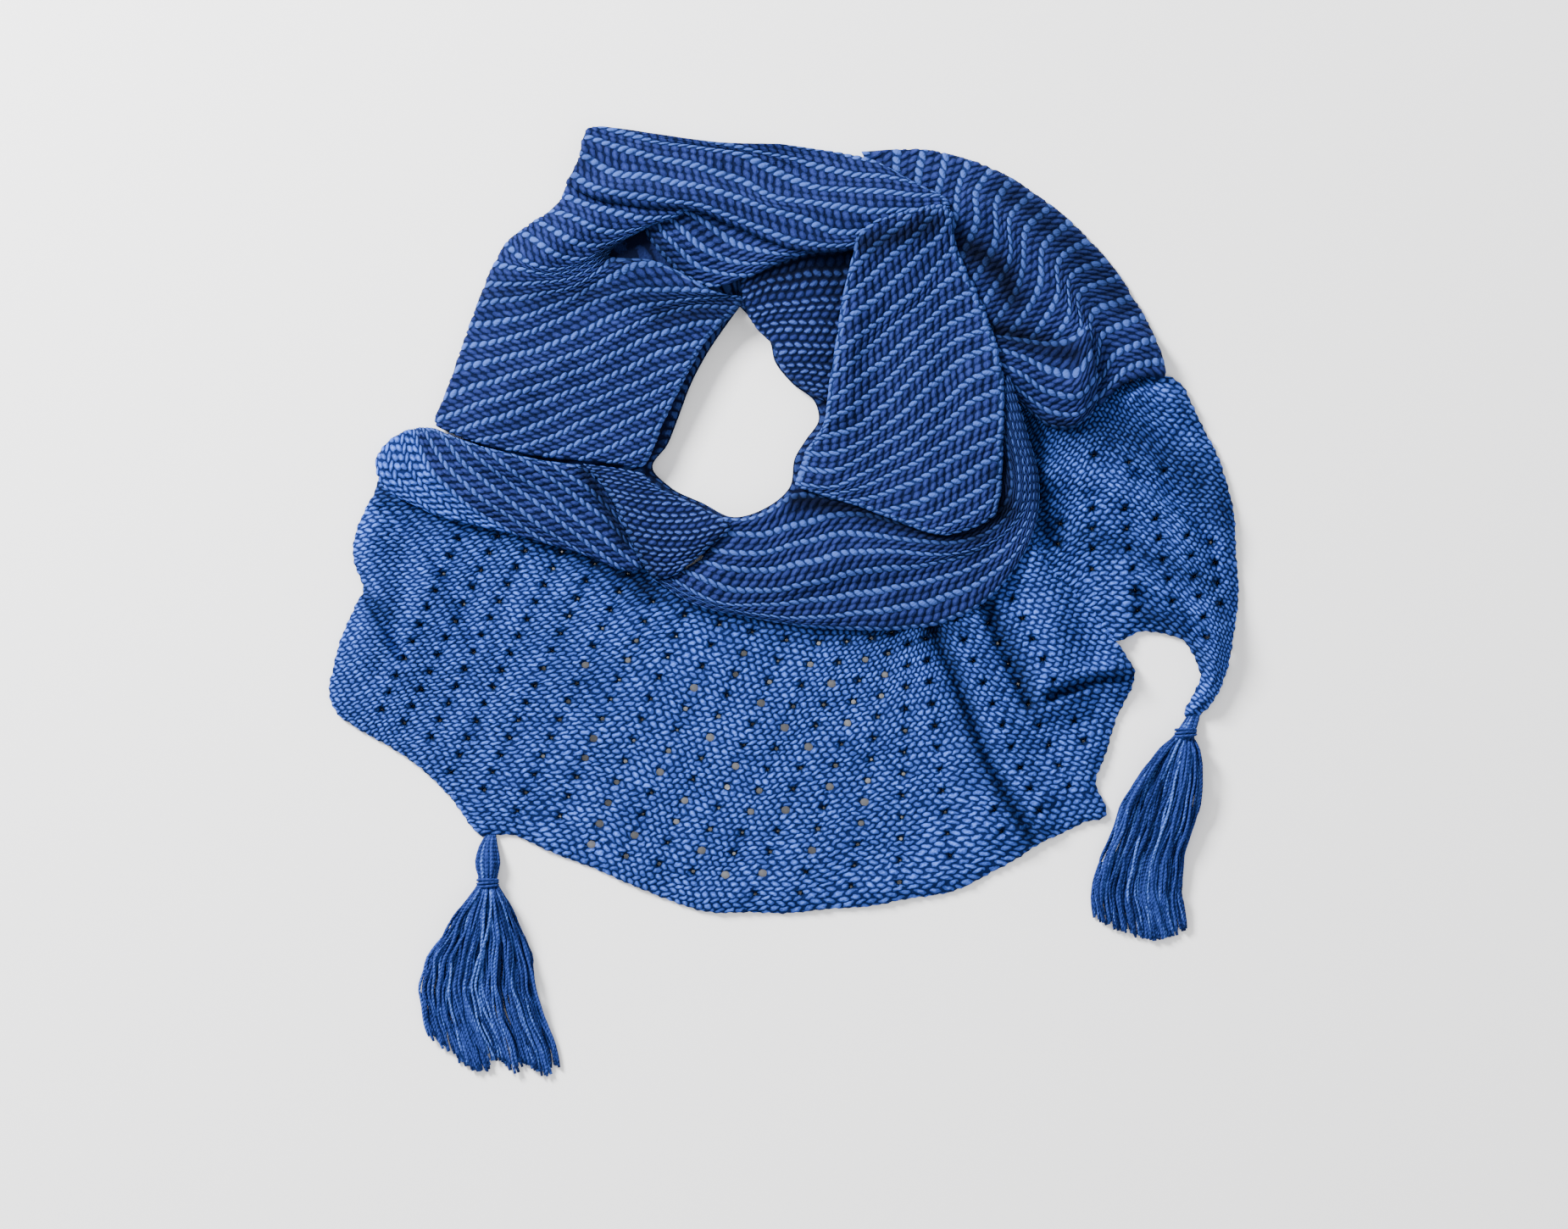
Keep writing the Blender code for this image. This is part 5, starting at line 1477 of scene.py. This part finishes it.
def makeHidden(name):
    # The layers inside the loop: one ring whose edges show as stacked folds.
    count = hiddenLook["stations"]
    outer, inner = resampleLoop(hiddenOutside, count), resampleLoop(hiddenInside, count)
    profile = []
    bulges = hiddenLook["layers"]
    rimHeight = 0.0055
    for step in range(bulges * 4 + 1):
        t = step / (bulges * 4)
        profile.append((0.0 + 3.2 * (1 - abs(math.sin(math.pi * bulges * t))), t * rimHeight))
    inside = [(1.0, offset, z) for offset, z in profile]
    outside = [(0.0, offset, z) for offset, z in profile]
    vertices, stitches = [], []
    ways = inner - outer
    length = np.linalg.norm(ways, axis=1)
    unit = ways / length[:, None]
    rings = []
    for side, offset, z in outside:
        rings.append((outer + unit * offset, np.full(count, z + 0.0001)))
    for t in (0.08, 0.2, 0.35, 0.5, 0.65, 0.8, 0.92):
        points = outer + ways * t
        near = np.minimum(length * t, length * (1 - t) * 1.6)
        rise = rimHeight + (knit["hiddenHeight"] - rimHeight) * np.sin(np.clip(
            near / 46, 0, 1,
        ) * math.pi / 2)
        rings.append((points, rise))
    for side, offset, z in reversed(inside):
        rings.append((inner - unit * offset, np.full(count, z + 0.0001)))
    for ringPoints, height in rings:
        vertices.append(np.column_stack([onFloor(ringPoints), height]))
    run = np.concatenate([[0], np.cumsum(np.linalg.norm(np.diff(inner, axis=0), axis=1))]) * plan["square"]
    for number, (ringPoints, height) in enumerate(rings):
        stitches.append(np.column_stack([run / knit["stitchWide"], np.full(count, number * 0.33)]))
    total = len(rings)
    index = np.arange(total * count).reshape(total, count)
    below = np.roll(index, -1, axis=0)
    faces = np.stack(
        [index, np.roll(index, -1, axis=1), np.roll(below, -1, axis=1), below], axis=-1,
    ).reshape(-1, 4)
    # The covered layers carry a painted shade of 0.42 all over.
    piece = makeMesh(
        name, np.vstack(vertices), faces.tolist(), np.vstack(stitches), np.full(total * count, 0.42),
        np.full(total * count, 0.05),
    )
    return piece


# Build


def findShift():
    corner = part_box("lace_front")
    xs, ys = [p[0] for p in laceFrontEdge], [p[1] for p in laceFrontEdge]
    low = ((min(xs) - plan["middle"][0]) * plan["square"], (plan["middle"][1] - max(ys)) * plan["square"])
    return np.array([low[0] - corner[0][0], low[1] - corner[0][1]])


shift = findShift()
heap = Heap()
say("shift of the plan", shift)

stripedKnit = knitFinish("striped garter knit", "striped")
insideKnit = knitFinish("wrong side of the knit", "inside")
cornerKnit = knitFinish("stripes running into lace", "corner")
laceKnit = knitFinish("lace knit", "lace")
tasselYarn = yarnFinish("tassel yarn")


def dress(piece, node, material):
    piece.data.materials.append(material)
    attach(piece, "root")
    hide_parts(node)


def pieceArea(piece):
    return sum(face.area for face in piece.data.polygons) / 2  # one side of the cloth


def flatCut(piece, wide, tall):
    # The rectangle that the stretch is knitted in, and the cloth inside it.
    area = pieceArea(piece)
    tall = max(tall, area / wide)
    return (math.ceil(wide * 1000) / 1000, math.ceil(tall * 1000) / 1000), round(area, 5)


def courseLength(points):
    return plan["square"] * sum(math.dist(a, b) for a, b in zip(points, points[1:]))


def heapPlaces():
    xs = np.arange(plan["cells"]) * plan["cell"] + plan["left"]
    ys = np.arange(plan["cells"]) * plan["cell"] + plan["top"]
    gridX, gridY = np.meshgrid(xs, ys)
    return np.column_stack([gridX.ravel(), gridY.ravel()])


def layCoarse(outline, wall):
    # Marks the lace in the heap, so that later stretches lie on it.
    outline = np.asarray(outline, float)
    places = heapPlaces()
    hit = insideOutline(places, outline)
    rise = np.zeros(len(places))
    rise[hit] = foldHeight("lace", places[hit]) + softSwell(places[hit]) + wall
    heap.top = np.maximum(heap.top, rise.reshape(heap.top.shape))


def layHidden():
    # Marks the covered layers in the heap: low at their edges, full height inside.
    places = heapPlaces()
    hit = insideOutline(places, hiddenOutside) & ~insideOutline(places, hiddenInside)
    outer = np.vstack([hiddenOutside, hiddenOutside[:1]])
    neck = np.vstack([hiddenInside, hiddenInside[:1]])
    near = np.minimum(lineDistance(places[hit], outer), lineDistance(places[hit], neck) * 1.6)
    rise = np.zeros(len(places))
    rise[hit] = 0.0055 + (knit["hiddenHeight"] - 0.0055) * np.sin(np.clip(near / 46, 0, 1) * math.pi / 2)
    heap.top = np.maximum(heap.top, rise.reshape(heap.top.shape))


frontPlaces = eyeletPlaces(laceFrontEdge, lace["columns"], lace["rows"], [], lace["free"])
sidePlaces = eyeletPlaces(laceSideEdge, lace["sideColumns"], lace["sideRows"], lace["sideLight"], [])
say("eyelets", len(frontPlaces), len(sidePlaces))
laceFront = latticeLace(
    "laceFront", laceFrontEdge, lace["seam"], lace["columns"], (
        -3, 23,
    ), (-17, 12), (16, 9), frontPlaces, 1.3
)
laceSide = latticeLace(
    "laceSide", laceSideShown, lace["seam"], lace["sideColumns"], (
        -5, 8,
    ), (-8, 12), (16, 10), sidePlaces, 2.9
)
layCoarse(laceFrontEdge, knit["laceWall"])
layCoarse(laceSideEdge, knit["laceWall"])
layHidden()
hidden = makeHidden("hiddenLayers")
hidden.data.flip_normals()  # its ring is wound inwards
say("lace and hidden layers laid")

stretches = [
    ("neckInside", neckInside, 5, 7, insideKnit, "neck_inside", "inside", 3.1, ""),
    ("backArc", backArc, 9, 17, stripedKnit, "back_arc", "striped", 4.4, ""),
    ("arcFold", arcFold, 8, 5, stripedKnit, "arc_fold", "striped", 5.2, ""),
    ("topPleat", topPleat, 8, 5, stripedKnit, "top_pleat", "striped", 6.7, ""),
    ("leftArm", leftArm, 8, 20, stripedKnit, "left_arm", "striped", 7.5, "right"),
    ("topBand", topBand, 12, 7, stripedKnit, "top_band", "striped", 8.3, "right"),
    ("leftFront", leftFront, 6, 11, cornerKnit, "left_front", "striped", 9.6, "left"),
    ("frontRoll", frontRoll, 18, 6, stripedKnit, "front_roll", "striped", 10.4, ""),
    ("turnedBack", turnedBack, 5, 7, insideKnit, "turned_back", "inside", 11.8, "left right"),
    ("rightFront", rightFront, 8, 17, stripedKnit, "right_front", "striped", 12.1, "left right"),
]
liesOn = {name: "hidden_layers" for name, *_ in stretches}
liesOn["turnedBack"] = "left_front"
liesOn["rightFront"] = "front_roll"
for name, table, across, along, material, node, slot, seed, chain in stretches:
    piece = knittedStretch(name, table, across, along, {"seed": seed}, chain)
    longest = max(courseLength(course) for _, course in table)
    flat, area = flatCut(piece, longest, (table[-1][0] - table[0][0]) * knit["ridgeTall"])
    dress(piece, node, material)
    say(name, len(piece.data.polygons), "faces", flat, area)

for piece, node, outline in (
    (laceFront, "lace_front", laceFrontEdge), (laceSide, "lace_side", laceSideShown),
):
    reach = plan["square"] * (np.max(outline, axis=0) - np.min(outline, axis=0))
    flat, area = flatCut(piece, float(reach[0]), float(reach[1]))
    dress(piece, node, laceKnit)
    say(piece.name, len(piece.data.polygons), "faces", flat, area)
dress(hidden, "hidden_layers", insideKnit)

for name, side, node, seed in (
    ("tasselLeft", "left", "tassel_left", 41), ("tasselRight", "right", "tassel_right", 57),
):
    piece = makeTassel(name, tassels[side], seed)
    dress(piece, node, tasselYarn)
    say(name, len(piece.data.polygons), "faces")


# Floor, light and camera

room = {
    "floor": (0.90, 0.90, 0.91),
    "floorWide": 12.0,
    "floorRough": 0.9,
    "floorGloss": 0.1,
    "floorDrop": -0.0002,  # just under the cloth
    "world": (1.0, 1.0, 1.0),
    "worldStrength": 1.15,
    "height": 3.0,
}

bpy.ops.object.select_all(action="DESELECT")
bpy.ops.mesh.primitive_plane_add(size=room["floorWide"], location=(0, 0, room["floorDrop"]))
floor = bpy.context.object
floor.name = "floor"
bpy.ops.object.transform_apply(location=True, rotation=False, scale=False)
paper = bpy.data.materials.new("pale floor")
paper.use_nodes = True
paper.node_tree.nodes["Principled BSDF"].inputs["Base Color"].default_value = (*room["floor"], 1)
paper.node_tree.nodes["Principled BSDF"].inputs["Roughness"].default_value = room["floorRough"]
paper.node_tree.nodes["Principled BSDF"].inputs["Specular IOR Level"].default_value = room["floorGloss"]
floor.data.materials.append(paper)

world = bpy.data.worlds.new("studio") if not bpy.context.scene.world else bpy.context.scene.world
bpy.context.scene.world = world
world.use_nodes = True
sky = world.node_tree.nodes.get("Background") or world.node_tree.nodes.new("ShaderNodeBackground")
sky.inputs["Color"].default_value = (*room["world"], 1)
sky.inputs["Strength"].default_value = room["worldStrength"]


def softBox(name, place, size, power):
    light = bpy.data.lights.new(name, "AREA")
    light.shape = "SQUARE"
    light.size = size
    light.energy = power
    item = bpy.data.objects.new(name, light)
    item.location = place
    item.rotation_euler = Vector(place).to_track_quat("Z", "Y").to_euler()
    bpy.context.scene.collection.objects.link(item)
    return item


lights = {
    "keyLight": {"place": (-1.7, 1.6, 1.45), "size": 0.8, "power": 285},
    "fillLight": {"place": (1.6, -1.2, 2.2), "size": 1.8, "power": 15},
}
for name, light in lights.items():
    softBox(name, light["place"], light["size"], light["power"])

lens = {"sensor": 36.0, "frameSquares": 1850, "frameMiddle": (925.0, 725.0)}
camera = bpy.data.cameras.new("camera")
camera.sensor_width = lens["sensor"]
camera.lens = lens["sensor"] * room["height"] / (lens["frameSquares"] * plan["square"])
viewer = bpy.data.objects.new("camera", camera)
aim = onFloor(np.array([lens["frameMiddle"]]))[0]
viewer.location = (aim[0], aim[1], room["height"])
viewer.rotation_euler = (0.0, 0.0, 0.0)
bpy.context.scene.collection.objects.link(viewer)
bpy.context.scene.camera = viewer

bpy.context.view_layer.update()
say("sizes written")
